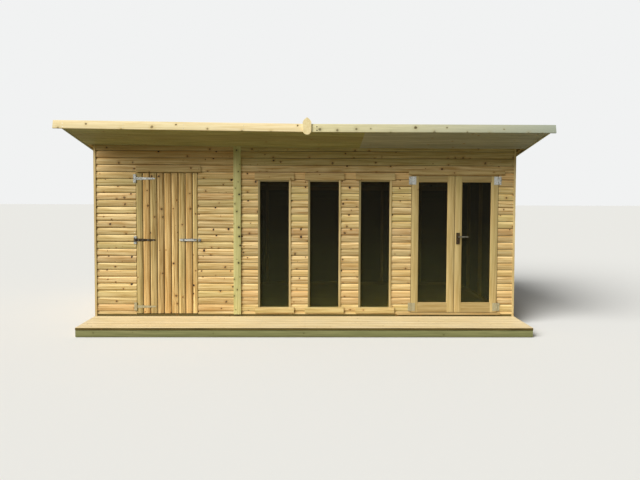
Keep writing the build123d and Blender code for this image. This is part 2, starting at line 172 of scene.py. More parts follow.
def solids_of(node: str, place: Matrix | None = None) -> list[Box]:
    """Measures the separate solids of a CAD node.

    Args:
        node: the node's name.
        place: the frame to measure in, or None for the shared frame.

    Returns:
        Each solid's lowest and highest corner, from left to right, then upwards and inwards.
    """
    mesh = bmesh.new()
    mesh.from_mesh(NODES[node].data)
    bmesh.ops.remove_doubles(mesh, verts=mesh.verts, dist=WELD)
    back = place.inverted() if place else Matrix()
    boxes = []
    for part in islands(mesh):
        axes = list(zip(*(back @ v.co for v in part)))
        boxes.append((Vector([min(a) for a in axes]), Vector([max(a) for a in axes])))
    mesh.free()
    return sorted(boxes, key=lambda b: (round(b[0].x, 3), round(b[0].z, 3), b[0].y))


def box_of(xs: Span, ys: Span, zs: Span) -> Box:
    """Gives the box between two places along each axis."""
    low, high = zip(xs, ys, zs)
    return Vector(low), Vector(high)


def trim(mesh: BMesh, cut: Plane, verts: set[BMVert] | None = None) -> None:
    """Saws a mesh along a plane, drops what lies outside and closes the cut.

    Args:
        mesh: the mesh to saw.
        cut: a point on the plane and the side that is dropped.
        verts: the points of the only parts to saw, or None for all.
    """
    chosen = verts if verts is not None else set(mesh.verts)
    edges = {e for v in chosen for e in v.link_edges}
    faces = {f for v in chosen for f in v.link_faces}
    for parts in (mesh.verts, mesh.edges, mesh.faces):
        parts.index_update()
    # Sets have no fixed order, and the saw would close its cuts in another way at each run.
    geom = [part for parts in (chosen, edges, faces) for part in sorted(parts, key=lambda p: p.index)]
    sawn = bmesh.ops.bisect_plane(
        mesh, geom=geom, dist=TOUCH, plane_co=cut[0], plane_no=cut[1], clear_outer=True
    )
    rim = [e for e in sawn["geom_cut"] if isinstance(e, BMEdge) and e.is_valid and e.is_boundary]
    bmesh.ops.holes_fill(mesh, edges=rim, sides=0)


def plain_mesh(work: BMesh, name: str) -> Mesh:
    """Closes a mesh in work and hands it over.

    Args:
        work: the mesh in work.
        name: the name of the plain mesh.

    Returns:
        The plain mesh.
    """
    mesh = bpy.data.meshes.new(name)
    work.normal_update()
    work.to_mesh(mesh)
    work.free()
    return mesh


def add_piece(
    name: str, mesh: Mesh, finish: Material, body: str, nodes: tuple[str, ...] = ()
) -> bpy.types.Object:
    """Makes a finished mesh a piece of the object.

    Args:
        name: the piece's name.
        mesh: its mesh, in place.
        finish: its material, where the mesh has none yet.
        body: the CAD body that it rides on.
        nodes: the CAD nodes that it replaces.

    Returns:
        The piece's object.
    """
    mesh.name = name
    if not mesh.materials:
        mesh.materials.append(finish)
    mesh.set_sharp_from_angle(angle=SHARP)
    piece = bpy.data.objects.new(name, mesh)
    bpy.context.scene.collection.objects.link(piece)
    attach(piece, body)
    if nodes:
        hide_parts(*nodes)
    log.info("%s rides on %s: %d faces, for %s", name, body, len(mesh.polygons), ", ".join(nodes) or "detail")
    return piece


def dress(finish: Material, *nodes: str) -> None:
    """Gives CAD nodes whose shape is right their finish.

    Args:
        finish: the material.
        nodes: the nodes' names.
    """
    for node in nodes:
        for place in NODES[node].material_slots:
            place.material = finish
        log.info("%s keeps its CAD shape, finished in %s", node, finish.name)


# ------------------------------------------------------------------- finishes


@dataclass(frozen=True)
class Finish:
    """A finish whose own nodes feed the principled shader."""

    name: str

    def build(self) -> Material:
        """Builds the node material."""
        return new_material(self.name, self.inputs)

    def inputs(self, add: Adder) -> Values:
        """Draws the finish's nodes with add and gives the shader's inputs."""
        raise NotImplementedError


class Grain(Enum):
    """Where a wood finish reads the way its grain runs."""

    PIECE = "grain"
    ALONG_X = (0.0, 0.0, 0.0)
    ALONG_Y = (0.0, 0.0, -math.pi / 2)
    ALONG_Z = (0.0, math.pi / 2, 0.0)


@dataclass(frozen=True)
class PinePlank(Finish):
    """Pressure treated pine: sap-pale wood with a green tinge, brown knots and straight fibre.

    To the eye that is a dry, matt surface whose boards differ in tone, with dark knots that the
    fibre runs round, orange rims about them and faint darker streaks along the board.
    """

    pale: str
    deep: str
    tinge: str
    blush: str = "#d3a06a"
    grain: Grain = Grain.PIECE
    knot: str = "#50300f"
    rim: str = "#b07a3a"
    tinge_share: float = 0.5
    blush_share: float = 0.5
    knot_gap_mm: float = 105.0
    knot_share: float = 0.3
    knot_mm: float = 11.0
    knot_spread: float = 1.0  # 1 scatters the knots, less keeps them in even whorls
    knot_least: float = -0.2  # the smallest knot's share of knot_mm, below 0 where some cells have none
    knot_none: float = 0.001  # cells whose knot is smaller than this have none
    knot_lump: float = 1.6  # how long the dents in a knot's outline are, and how deep, in its own radii
    knot_sway: float = 0.9
    knot_dark: Span = (0.55, 1.25)  # the palest and the darkest core
    core_share: float = 0.9
    rim_share: float = 0.34
    core_edge: Span = (1.15, 0.6)  # where a knot's core ends and where it is full, in its own radii
    rim_edge: Span = (3.2, 0.8)
    bend_mm: float = 6.0  # how far the fibre gives way to a knot
    dull: str | None = None  # the colour that a board of tone 0 turns to, darker and greyer
    painted_lap_mm: tuple[float, float, float] | None = None  # where the painted shade in the lap is full, where it ends, the cover
    streak_mm: Span = (420.0, 17.0)  # growth streaks are 2 to 6 mm apart, drawn wider so that they show
    fibre_mm: Span = (60.0, 1.6)  # real fibre is finer than 1 mm, drawn coarser so that it shows
    cloud_mm: Span = (900.0, 160.0)
    ring_mm: float = 7.0
    ring_stretch: float = 10.0  # how much longer than wide the flames are
    ring_height: float = 0.6
    piece_mm: float = 769.2  # CAD pieces this far apart differ in tone
    tone_swing: float = 0.16
    pale_share: float = 0.8  # how far pale boards stray, for each bit that dark ones do
    fibre_swing: float = 0.14
    highlight_shares: Span = (0.45, 0.95)  # between which shares of the cover the painted highlight on the upper round rises
    # how far the painted shade in the lap darkens towards the knot colour
    lap_shade_share: float = 0.85
    roughness: float = 0.66
    rough_swing: Span = (-0.08, 0.1)

    def inputs(self, add: Adder) -> Values:
        """Draws the wood.

        Args:
            add: adds a node to the material.

        Returns:
            The shader's inputs.
        """
        along, across, depth, tone = self._coordinates(add)
        straight = add(JOIN, {0: along, 1: across, 2: depth})[0]
        knot, rim = self._knots(add, straight)
        bend = add(MATH, {"operation": "MULTIPLY", 0: rim, 1: self.bend_mm * MM})[0]
        bend = add(MATH, {"operation": "ADD", 0: across, 1: bend})[0]
        bent = add(JOIN, {0: along, 1: bend, 2: depth})[0]
        streaks = self._noise(add, bent, self.streak_mm, 3.0)
        fibre = self._noise(add, bent, self.fibre_mm, 2.0)
        clouds = self._noise(add, straight, self.cloud_mm, 1.0)
        rings = self._rings(add, bent)
        wood = self._wood(add, streaks, clouds, rings, tone)
        colour = self._knotted(add, wood, knot, rim, tone, fibre)
        # Painted highlight on each board's upper round and painted shade in its lap.
        if self.painted_lap_mm is not None:
            colour = self._paint_lap_light(add, colour, across, depth)
        height = add(MATH, {"operation": "MULTIPLY_ADD", 0: rings, 1: self.ring_height, 2: fibre})[0]
        smooth, rough = (self.roughness + swing for swing in self.rough_swing)
        return {
            "IOR": 1.45,
            "Specular IOR Level": 0.3,
            "Base Color": colour,
            "Roughness": add(RANGE, {"To Min": smooth, "To Max": rough, "Value": streaks})[0],
            "Normal": add(BUMP, {"Strength": 0.35, "Distance": 0.5 * MM, "Height": height})[0],
        }

    def _coordinates(self, add: Adder) -> tuple[Socket, ...]:
        """Reads where on the board a point lies.

        Args:
            add: adds a node to the material.

        Returns:
            The place along, across and through the board, and the board's tone.
        """
        if self.grain is Grain.PIECE:
            source = add(ATTRIBUTE, {"attribute_name": "grain"})["Vector"]
            tone = add(ATTRIBUTE, {"attribute_name": "tone"})["Fac"]
        else:
            place = add(PLACE)["Object"]
            source = add("ShaderNodeMapping", {"Rotation": self.grain.value, "Vector": place})[0]
            tone = add(NOISE, {"Scale": 1 / (self.piece_mm * MM), "Detail": 0.0, "Vector": place})[0]
        return *add(SPLIT, {0: source}), tone

    def _noise(self, add: Adder, place: Socket, size_mm: Span, detail: float) -> Socket:
        """Makes noise whose grains have one length along the board and another across it.

        Args:
            add: adds a node to the material.
            place: the place on the board.
            size_mm: the grains' length and width.
            detail: the noise's detail.

        Returns:
            The noise.
        """
        long, wide = (1 / (mm * MM) for mm in size_mm)
        scaled = add(VECTORS, {"operation": "MULTIPLY", 0: place, 1: (long, wide, wide)})[0]
        return add(NOISE, {"Scale": 1.0, "Detail": detail, "Vector": scaled})[0]

    def _rings(self, add: Adder, place: Socket) -> Socket:
        """Makes the long flames that a flat-sawn board shows, ring_mm apart.

        Args:
            add: adds a node to the material.
            place: the place on the board.

        Returns:
            The flames' strength.
        """
        shape = (1 / self.ring_stretch, 1.0, 1.0)
        squeezed = add(VECTORS, {"operation": "MULTIPLY", 0: place, 1: shape})[0]
        wave = {"wave_type": "BANDS", "bands_direction": "Y", "Scale": WAVE_GAP / (self.ring_mm * MM)}
        flow = {"Distortion": 5.0, "Detail": 1.0, "Detail Scale": 0.5, "Vector": squeezed}
        return add("ShaderNodeTexWave", wave | flow)["Fac"]

    def _knots(self, add: Adder, place: Socket) -> tuple[Socket, ...]:
        """Scatters knots, some pale and some dark.

        Args:
            add: adds a node to the material.
            place: the place on the board.

        Returns:
            The strength of the roundish cores and of the wider soft rims.
        """
        drift = add(NOISE, {"Scale": 1 / (self.knot_mm * self.knot_lump * MM), "Vector": place})["Color"]
        sway = [self.knot_sway * self.knot_mm * MM] * 3
        moved = add(VECTORS, {"operation": "MULTIPLY_ADD", 0: drift, 1: sway, 2: place})[0]
        flat = {"voronoi_dimensions": "2D" if self.grain is Grain.PIECE else "3D"}
        sizes = {"Scale": 1 / (self.knot_gap_mm * MM), "Randomness": self.knot_spread}
        cells = add(CELLS, flat | sizes | {"Vector": moved})
        pick = add(CHANNELS, {0: cells["Color"]})
        reach = self.knot_mm / self.knot_gap_mm
        chance = {"From Min": 1 - self.knot_share, "From Max": 1.0, "Value": pick[0]}
        radius = add(RANGE, chance | {"To Min": reach * self.knot_least, "To Max": reach})[0]
        gap = add(MATH, {"operation": "DIVIDE", 0: cells["Distance"], 1: radius})[0]
        held = add(MATH, {"operation": "GREATER_THAN", 0: radius, 1: self.knot_none})[0]
        core, rim = (
            add(RANGE, SMOOTH | {"From Min": ends, "From Max": full, "Value": gap})[0]
            for ends, full in (self.core_edge, self.rim_edge)
        )
        palest, darkest = self.knot_dark
        dark = add(RANGE, {"To Min": palest, "To Max": darkest, "Value": pick[1]})[0]
        core = add(MATH, {"operation": "MULTIPLY", 0: core, 1: dark})[0]
        return tuple(add(MATH, {"operation": "MULTIPLY", 0: mask, 1: held})[0] for mask in (core, rim))

    def _wood(self, add: Adder, streaks: Socket, clouds: Socket, rings: Socket, tone: Socket) -> Socket:
        """Lays the green tinge, the board's own blush, the rings and the weather over the wood.

        Args:
            add: adds a node to the material.
            streaks: the strength of the growth streaks.
            clouds: the strength of the broad patches.
            rings: the strength of the flames.
            tone: the board's tone.

        Returns:
            The wood's colour without its knots.
        """
        hard = add(RANGE, {"From Min": 0.38, "From Max": 0.64, "Value": streaks})[0]
        wood = add(MIX, {"data_type": "RGBA", 0: hard, 6: linear(self.pale), 7: linear(self.deep)})[2]
        lean = add("ShaderNodeTexWhiteNoise", {"noise_dimensions": "1D", "W": tone})
        green = add(MATH, {"operation": "MULTIPLY", 0: clouds, 1: lean["Value"]})[0]
        own = add(CHANNELS, {0: lean["Color"]})[1]
        layers = [
            ({"From Min": 0.1, "From Max": 0.5, "To Max": self.tinge_share, "Value": green}, self.tinge),
            ({"From Min": 0.5, "To Max": self.blush_share, "Value": own}, self.blush),
            ({"From Min": 0.6, "To Max": 0.6, "Value": rings}, self.deep),
        ]
        if self.dull is not None:
            layers.append(({"To Min": 1.0, "To Max": 0.0, "Value": tone}, self.dull))
        for share, colour in layers:
            wood = add(MIX, {"data_type": "RGBA", 0: add(RANGE, share)[0], 6: wood, 7: linear(colour)})[2]
        return wood

    def _knotted(
        self, add: Adder, wood: Socket, knot: Socket, rim: Socket, tone: Socket, fibre: Socket
    ) -> Socket:
        """Lays the knots over the wood and gives it its tone and fibre.

        Args:
            add: adds a node to the material.
            wood: the wood's colour.
            knot: the strength of the knots' cores.
            rim: the strength of their rims.
            tone: the board's tone.
            fibre: the strength of the fibre.

        Returns:
            The finished colour.
        """
        for mask, share, colour in ((rim, self.rim_share, self.rim), (knot, self.core_share, self.knot)):
            part = add(MATH, {"operation": "MULTIPLY", 0: mask, 1: share})[0]
            wood = add(MIX, {"data_type": "RGBA", 0: part, 6: wood, 7: linear(colour)})[2]
        swing, fine = self.tone_swing, self.fibre_swing
        level = add(RANGE, {"To Min": 1 - swing, "To Max": 1 + swing * self.pale_share, "Value": tone})[0]
        thread = add(RANGE, {"To Min": 1 - fine, "To Max": 1 + fine, "Value": fibre})[0]
        level = add(MATH, {"operation": "MULTIPLY", 0: level, 1: thread})[0]
        return add(VECTORS, {"operation": "SCALE", 0: wood, "Scale": level})[0]

    def _paint_lap_light(self, add: Adder, colour: Socket, across: Socket, depth: Socket) -> Socket:
        """Paints a highlight on the upper round, which faces the light, and shade in the lap under the lip.

        Args:
            add: adds a node to the material.
            colour: the wood's colour.
            across: the place across the board.
            depth: the place through the board.

        Returns:
            The colour with the painted highlight and shade.
        """
        full, none, cover = self.painted_lap_mm
        start, end = (share * cover * MM for share in self.highlight_shares)
        upper = {"From Min": start, "From Max": end, "To Min": 0.96, "To Max": 1.22}
        painted_highlight = add(RANGE, SMOOTH | upper | {"Value": across})[0]
        pale = add(VECTORS, {"operation": "SCALE", 0: colour, "Scale": painted_highlight})[0]
        lap = {"From Min": none * MM, "From Max": full * MM, "To Max": self.lap_shade_share}
        painted_shade = add(RANGE, SMOOTH | lap | {"Value": depth})[0]
        return add(MIX, {"data_type": "RGBA", 0: painted_shade, 6: pale, 7: linear(self.knot)})[2]


@dataclass(frozen=True)
class GalvanisedSteel(Finish):
    """Hot-dip galvanised steel, pressed: dull zinc with crystal patches that differ in grey,
    yellowed by splashed earth low down, and brown where the zinc has gone."""

    name: str = "galvanised_steel"
    dark: str = "#94958f"
    light: str = "#c0c0b8"
    splash: str = "#b3a779"
    brown: str = "#3b3021"
    splash_top: float = 900 * MM
    splash_full: float = 250 * MM
    browned: Span = (-1.0, -1.0)  # between which heights the zinc has gone
    rust_edge: Span = (20 * MM, 5 * MM)  # how far past them it still shows, and where it is full
    patch_mm: float = 22.22
    patch_reach: float = 30 * MM
    spangle_mm: float = 7.0
    dent_mm: float = 6.25

    def inputs(self, add: Adder) -> Values:
        """Draws the steel.

        Args:
            add: adds a node to the material.

        Returns:
            The shader's inputs.
        """
        place = add(PLACE)["Object"]
        height = add(SPLIT, {0: place})[2]
        cells = add(CELLS, {"Scale": 1 / (self.spangle_mm * MM), "Vector": place})
        pick = add(CHANNELS, {0: cells["Color"]})
        earth = {"From Min": self.splash_top, "From Max": self.splash_full, "To Max": 0.7, "Value": height}
        dirt = add(RANGE, earth)[0]
        low, high = self.browned
        away = add(MATH, {"operation": "SUBTRACT", 0: height, 1: (low + high) / 2})[0]
        away = add(MATH, {"operation": "ABSOLUTE", 0: away})[0]
        patch = add(NOISE, {"Scale": 1 / (self.patch_mm * MM), "Detail": 3.0, "Vector": place})[0]
        away = add(MATH, {"operation": "MULTIPLY_ADD", 0: patch, 1: self.patch_reach, 2: away})[0]
        none, full = ((high - low) / 2 + edge for edge in self.rust_edge)
        gone = add(RANGE, SMOOTH | {"From Min": none, "From Max": full, "Value": away})[0]
        colour = linear(self.dark)
        for share, over in ((pick[0], self.light), (dirt, self.splash), (gone, self.brown)):
            colour = add(MIX, {"data_type": "RGBA", 0: share, 6: colour, 7: linear(over)})[2]
        dents = add(NOISE, {"Scale": 1 / (self.dent_mm * MM), "Detail": 2.0, "Vector": place})[0]
        return {
            "Base Color": colour,
            "Metallic": add(RANGE, {"To Min": 0.9, "To Max": 0.3, "Value": dirt})[0],
            "Roughness": add(RANGE, {"To Min": 0.34, "To Max": 0.55, "Value": pick[1]})[0],
            "Normal": add(BUMP, {"Strength": 0.3, "Distance": 0.2 * MM, "Height": dents})[0],
        }


@dataclass(frozen=True)
class DarkBronze(Finish):
    """Cast brass, darkened and lacquered: almost black brown, rubbed to warm metal in places."""

    name: str = "dark_bronze"
    dark: str = "#2b2118"
    rubbed: str = "#6f5a3c"
    wear_mm: float = 14.0
    worn_from: float = 0.42

    def inputs(self, add: Adder) -> Values:
        """Draws the bronze.

        Args:
            add: adds a node to the material.

        Returns:
            The shader's inputs.
        """
        place = add(PLACE)["Object"]
        cloud = add(NOISE, {"Scale": 1 / (self.wear_mm * MM), "Detail": 4.0, "Vector": place})[0]
        worn = add(RANGE, {"From Min": self.worn_from, "From Max": 0.9, "Value": cloud})[0]
        colour = add(MIX, {"data_type": "RGBA", 0: worn, 6: linear(self.dark), 7: linear(self.rubbed)})[2]
        rough = add(RANGE, {"To Min": 0.42, "To Max": 0.26, "Value": worn})[0]
        return {"Metallic": 0.85, "Base Color": colour, "Roughness": rough}


@dataclass(frozen=True)
class WindowGlass(Finish):
    """Float glass, 4 mm: clear and smooth, with a thin mirror, its tint paler and greener towards its foot
    and clearer towards its head."""

    name: str = "float_glass"
    clear: str = "#857f6a"
    low_tint: str = "#c2c690"
    mirror: str = "#6c6e62"
    tint_top: float = 1700 * MM
    tint_full: float = 400 * MM
    wave_mm: float = 260.0
    tint_edge_mm: float = 200.0
    tint_edge_reach: float = 500 * MM  # how far the edge of the paler tint strays up and down

    def inputs(self, add: Adder) -> Values:
        """Draws the glass.

        Args:
            add: adds a node to the material.

        Returns:
            The shader's inputs.
        """
        place = add(PLACE)["Object"]
        wave = add(NOISE, {"Scale": 1 / (self.wave_mm * MM), "Detail": 0.0, "Vector": place})[0]
        tint_edge = add(NOISE, {"Scale": 1 / (self.tint_edge_mm * MM), "Detail": 3.0, "Vector": place})[0]
        height = add(SPLIT, {0: place})[2]
        level = add(MATH, {"operation": "MULTIPLY_ADD", 0: tint_edge, 1: self.tint_edge_reach, 2: height})[0]
        tint_share = add(RANGE, {"From Min": self.tint_top, "From Max": self.tint_full, "Value": level})[0]
        colours = {6: linear(self.clear), 7: linear(self.low_tint)}
        return {
            "Roughness": 0.0,
            "IOR": 1.3,
            "Specular Tint": linear(self.mirror),
            "Transmission Weight": 0.97,
            "Base Color": add(MIX, {"data_type": "RGBA", 0: tint_share} | colours)[2],
            "Normal": add(BUMP, {"Strength": 0.04, "Distance": 1.0 * MM, "Height": wave})[0],
        }


@dataclass(frozen=True)
class MineralFelt(Finish):
    """Mineral roofing felt: bitumen sheet under slate grit, matt, speckled and a little uneven."""

    name: str = "mineral_felt"
    dark: str = "#3b4041"
    light: str = "#74797a"
    grit_mm: float = 4.0  # real grit is about 1 mm, drawn coarser so that it shows
    cloud_mm: float = 454.5
    cloud_share: float = 0.45

    def inputs(self, add: Adder) -> Values:
        """Draws the felt.

        Args:
            add: adds a node to the material.

        Returns:
            The shader's inputs.
        """
        place = add(PLACE)["Object"]
        grit = add(CELLS, {"Scale": 1 / (self.grit_mm * MM), "Vector": place})["Color"]
        pick = add(CHANNELS, {0: grit})[0]
        cloud = add(NOISE, {"Scale": 1 / (self.cloud_mm * MM), "Detail": 3.0, "Vector": place})[0]
        blend = add(MIX, {"data_type": "FLOAT", 0: self.cloud_share, 2: pick, 3: cloud})[0]
        colours = {6: linear(self.dark), 7: linear(self.light)}
        return {
            "Roughness": 0.92,
            "Specular IOR Level": 0.3,
            "Base Color": add(MIX, {"data_type": "RGBA", 0: blend} | colours)[2],
            "Normal": add(BUMP, {"Strength": 0.5, "Distance": 0.8 * MM, "Height": pick})[0],
        }


class Finishes:
    """The finishes of the whole house, each built once."""

    def __init__(self) -> None:
        """Builds every material."""
        # The cladding and the door boards carry a painted highlight and painted shade at their laps, set by
        # their last numbers.
        self.cladding = PinePlank(
            "treated_pine_loglap", "#ecd29a", "#b28c50", "#aca766", knot="#23160a",
            knot_gap_mm=95, knot_mm=17, knot_share=0.46, tone_swing=0.19, painted_lap_mm=(5.8, 7.6, 91.0)
        ).build()
        self.door = PinePlank(
            "treated_pine_door_boards", "#e1c284", "#9d783e", "#a29d66", blush="#b8874a", knot="#26180a",
            blush_share=0.4, tinge_share=0.6, tone_swing=0.21, knot_mm=17, knot_share=0.42,
            painted_lap_mm=(5.6, 8.2, 92.0)
        ).build()
        self.trim = PinePlank(
            "planed_pine_trim", "#dac28a", "#b08f55", "#a9a466", knot="#3a260c",
            tinge_share=0.6, blush_share=0.1, knot_gap_mm=130, knot_share=0.45, knot_mm=14, tone_swing=0.24
        ).build()
        self.joinery = PinePlank(
            "planed_redwood_joinery", "#d0b780", "#ad9158", "#aba26a", blush="#c79f66",
            knot_gap_mm=190, knot_share=0.2, knot_mm=8, tone_swing=0.3
        ).build()
        whorls = {"blush_share": 0.0, "knot_share": 1.0, "tone_swing": 0.05}
        self.strip = PinePlank(
            "green_treated_strip", "#e2d597", "#baad6d", "#afaf73", knot="#2c230c", rim="#8d8040",
            knot_gap_mm=112, knot_spread=0.85, knot_least=0.3, knot_mm=15, **whorls
        ).build()
        # The cream left fascia is paler partly as painted light, and the grey right fascia darker partly as
        # painted shade; the rest is their own colour.
        self.fascia = PinePlank(
            "cream_pine_fascia", "#f1deb2", "#e0c691", "#d9d19e", knot="#6a5327", rim="#c4a96a",
            tinge_share=0.3, knot_gap_mm=355, knot_spread=0.25, knot_least=0.5, knot_mm=21,
            roughness=0.6, **whorls
        ).build()
        self.pale_fascia = PinePlank(
            "weathered_and_shaded_pine_fascia", "#dfd3a4", "#cabf90", "#b9bb8c", knot="#54482a", rim="#a09468",
            dull="#9da290", tinge_share=0.0, knot_gap_mm=225, knot_spread=0.38, knot_least=0.45, knot_mm=19,
            **(whorls | {"tone_swing": 0.03})
        ).build()
        self.deck = PinePlank(
            "smooth_pine_deck", "#eedcb2", "#dcc491", "#d9ce9d", rim="#c9a262", tinge_share=0.2,
            blush_share=0.1, knot_gap_mm=160, knot_share=0.25, knot_mm=8, tone_swing=0.05, roughness=0.58
        ).build()
        # Dark brown pine that stands in for shade: painted shade on the deck's front edge and on the base
        # rails.
        self.shade_edge = PinePlank(
            "painted_shade_edge", "#6f5c2b", "#483914", "#575228", blush_share=0.0, knot_gap_mm=160,
            roughness=0.85
        ).build()
        self.skirt = PinePlank(
            "green_sawn_pine", "#9a9464", "#76724a", "#7f8450", knot="#4a4426", rim="#6f6a3c",
            blush_share=0.0, knot_gap_mm=120, roughness=0.8
        ).build()
        # Both soffit finishes are darker and greener than the cladding, partly their own colour and partly
        # painted shade under the eave.
        self.soffit = PinePlank(
            "treated_pine_soffit", "#c3ba80", "#988c54", "#a09c68", blush="#a08a5c", knot_gap_mm=150,
            tone_swing=0.14, roughness=0.7
        ).build()
        self.grey_soffit = PinePlank(
            "weathered_pine_soffit", "#c5bea6", "#9b957e", "#a29f86", blush="#9b8b72", blush_share=0.2,
            knot_gap_mm=150, tone_swing=0.14, roughness=0.74
        ).build()
        self.window_frame = PinePlank(
            "planed_pine_window_frame", "#bba675", "#988250", "#9b9564", blush_share=0.2, knot_gap_mm=150,
            knot_share=0.25, knot_mm=8, tone_swing=0.32
        ).build()
        few = {"knot_gap_mm": 150, "knot_share": 0.2}
        self.planed_x = PinePlank(
            "planed_pine_level", "#c0a673", "#9d814d", "#999462", grain=Grain.ALONG_X, **few
        ).build()
        self.planed_z = PinePlank(
            "planed_pine_upright", "#b09d6e", "#8f7b4c", "#938f60", grain=Grain.ALONG_Z, **few
        ).build()
        self.bead = PinePlank(
            "planed_pine_bead", "#dcc690", "#bb9f66", "#b8b078", grain=Grain.ALONG_Z, **few
        ).build()
        self.finial = PinePlank(
            "planed_pine_finial", "#ead9a9", "#d6c38e", "#d3d09c", grain=Grain.ALONG_Z, knot_share=0.0,
            tone_swing=0.03
        ).build()
        self.sawn_x, self.sawn_y, self.sawn_z = (
            PinePlank(
                f"sawn_pine_{grain.name.lower()}", "#cfb078", "#a98a54", "#a39c62",
                grain=grain, knot_gap_mm=170, roughness=0.82
            ).build()
            for grain in (Grain.ALONG_X, Grain.ALONG_Y, Grain.ALONG_Z)
        )
        self.steel = GalvanisedSteel().build()
        self.hinge_steel = GalvanisedSteel(
            "galvanised_hinge_steel", dark="#6a6b65", browned=(1088 * MM, 1140 * MM)
        ).build()
        self.guide_steel = GalvanisedSteel("dulled_zinc_steel", dark="#6f706a", light="#94948c").build()
        self.rod_steel = GalvanisedSteel("rubbed_zinc_steel", dark="#c4c5bf", light="#e0e0da").build()
        self.stained_steel = GalvanisedSteel("tannin_stained_steel", dark="#1d160c", light="#32281a").build()
        self.bronze = DarkBronze().build()
        self.worn_bronze = DarkBronze(
            "hand_worn_bronze", dark="#4b4539", rubbed="#a39c88", wear_mm=25.0, worn_from=0.3
        ).build()
        self.glass = WindowGlass().build()
        self.felt = MineralFelt().build()


# ------------------------------------------------------------ boards and beads


def eased(width: float, depth: float, ease: float) -> Section:
    """Draws the section of a planed board whose arrises are rounded.

    Args:
        width: across the board.
        depth: through the board.
        ease: the radius of the arrises.

    Returns:
        The section's points, anticlockwise seen from the board's far end.
    """
    points = []
    for y, z, start in ((width, 0.0, -90), (width, depth, 0), (0.0, depth, 90), (0.0, 0.0, 180)):
        cy, cz = (at - ease if at else ease for at in (y, z))
        for a in (math.radians(start + turn) for turn in (0, 45, 90)):
            points.append((cy + ease * math.cos(a), cz + ease * math.sin(a)))
    return points


@dataclass(frozen=True)
class LogLap:
    """The section of a loglap board: a domed face, a thin top edge under a proud lip, tongue and groove."""

    cover: float = 91 * MM
    thick: float = 19 * MM
    lip_drop: float = 6 * MM
    lip_reach: float = 22 * MM
    top_drop: float = 12.5 * MM
    top_reach: float = 36 * MM
    roundness: float = 1.6
    gap: float = 6 * MM
    tongue: float = 4 * MM
    tongue_shares: Span = (0.12, 0.27)
    ease: float = 0.8 * MM
    slack: float = 0.2 * MM
    steps: int = 7

    def section(self) -> Section:
        """Draws the board lying on its back, its lower edge at y = 0.

        Returns:
            The section's points.
        """
        c, t, ease = self.cover, self.thick, self.ease
        low, high = (share * t for share in self.tongue_shares)
        tip, top, root = c + self.tongue, c - self.gap, self.tongue + ease
        fall = [step / self.steps for step in range(self.steps + 1)]
        points = [(ease, 0.0), (c - ease, 0.0), (c, ease), (c, low)]
        points += [(tip, low), (tip, high), (c, high), (top, high)]
        points += [(top - self.top_reach * s, t - self.top_drop * (1 - s) ** self.roundness) for s in fall]
        points += [(self.lip_reach * (1 - s), t - self.lip_drop * s**self.roundness) for s in fall]
        for z in (high + self.slack, low - self.slack):
            points += [(0.0, z), (root, z)] if z > high else [(root, z), (0.0, z)]
        return points + [(0.0, ease)]


def board_mesh() -> BMesh:
    """Starts a mesh that holds boards with their grain and tone.

    Returns:
        The empty mesh in work.
    """
    mesh = bmesh.new()
    mesh.verts.layers.float_vector.new("grain")
    mesh.verts.layers.float.new("tone")
    return mesh


def extrude(
    mesh: BMesh, section: Section, length: float, place: Matrix, shift: float, tones: Span = (0.5, 0.5)
) -> None:
    """Adds a board of one section, with its grain and tone written on its points.

    Args:
        mesh: the mesh that gets it, with its grain and tone layers.
        section: the board's section, in its own y and z.
        length: its length along its own x.
        place: where the board lies.
        shift: where in the wood's pattern its start lies.
        tones: the tone of its start and of its far end, from 0, dark, to 1, pale.
    """
    grain = mesh.verts.layers.float_vector["grain"]
    shade = mesh.verts.layers.float["tone"]
    ends: list[list[BMVert]] = [[], []]
    for ring, x, tone in zip(ends, (0.0, length), tones):
        for y, z in section:
            vert = mesh.verts.new(place @ Vector((x, y, z)))
            vert[grain] = Vector((x + shift, y, z))
            vert[shade] = tone
            ring.append(vert)
    near, far = ends
    for i in range(len(section)):
        mesh.faces.new((near[i - 1], near[i], far[i], far[i - 1])).smooth = True
    mesh.faces.new(near[::-1])
    mesh.faces.new(far)


@dataclass
class Stock:
    """Boards or fixings of one finish that make one piece."""

    finish: Material
    seed: int

    def made(self) -> Mesh:
        """Gives the finished mesh."""
        raise NotImplementedError

    def piece(self, name: str, slot: str, *nodes: str, body: str = HOUSE) -> bpy.types.Object:
        """Makes it a named piece that rides on a body and takes the place of CAD nodes."""
        return add_piece(name, self.made(), self.finish, body, nodes)


@dataclass
class Joinery(Stock):
    """Planed boards of many sizes, gathered into one piece."""

    work: BMesh = field(default_factory=board_mesh)

    def __post_init__(self) -> None:
        """Starts the fixed row of chances for this piece."""
        self.chance = random.Random(self.seed)

    def board(
        self, box: Box, place: Matrix | None = None, ease: float = 2 * MM, tone: float | Span | None = None
    ) -> None:
        """Adds a board that fills a box, its grain along the box's longest side.

        Args:
            box: the board's lowest and highest corner.
            place: the frame the box is given in, or None for the shared frame.
            ease: the radius of its arrises, which a thin board halves.
            tone: the board's tone, those of its two ends, or None for a chance one.
        """
        low, high = box
        size = high - low
        a, b, c = sorted(range(3), key=lambda i: -size[i])
        axes = [Vector([float(i == k) for i in range(3)]) for k in (a, b, c)]
        origin = low.copy()
        if axes[0].cross(axes[1]).dot(axes[2]) < 0:
            origin[c] = high[c]
            axes[2] = -axes[2]
        at = (place or Matrix()) @ Matrix.Translation(origin) @ Matrix(axes).transposed().to_4x4()
        shift = self.chance.uniform(0, PATTERN_REACH)
        own = self.chance.random() if tone is None else tone
        tones = own if isinstance(own, tuple) else (own, own)
        section = eased(size[b], size[c], min(ease, size[c] * EASE_LIMIT))
        extrude(self.work, section, size[a], at, shift, tones)

    def made(self) -> Mesh:
        """Gives the finished mesh."""
        return plain_mesh(self.work, "joinery")


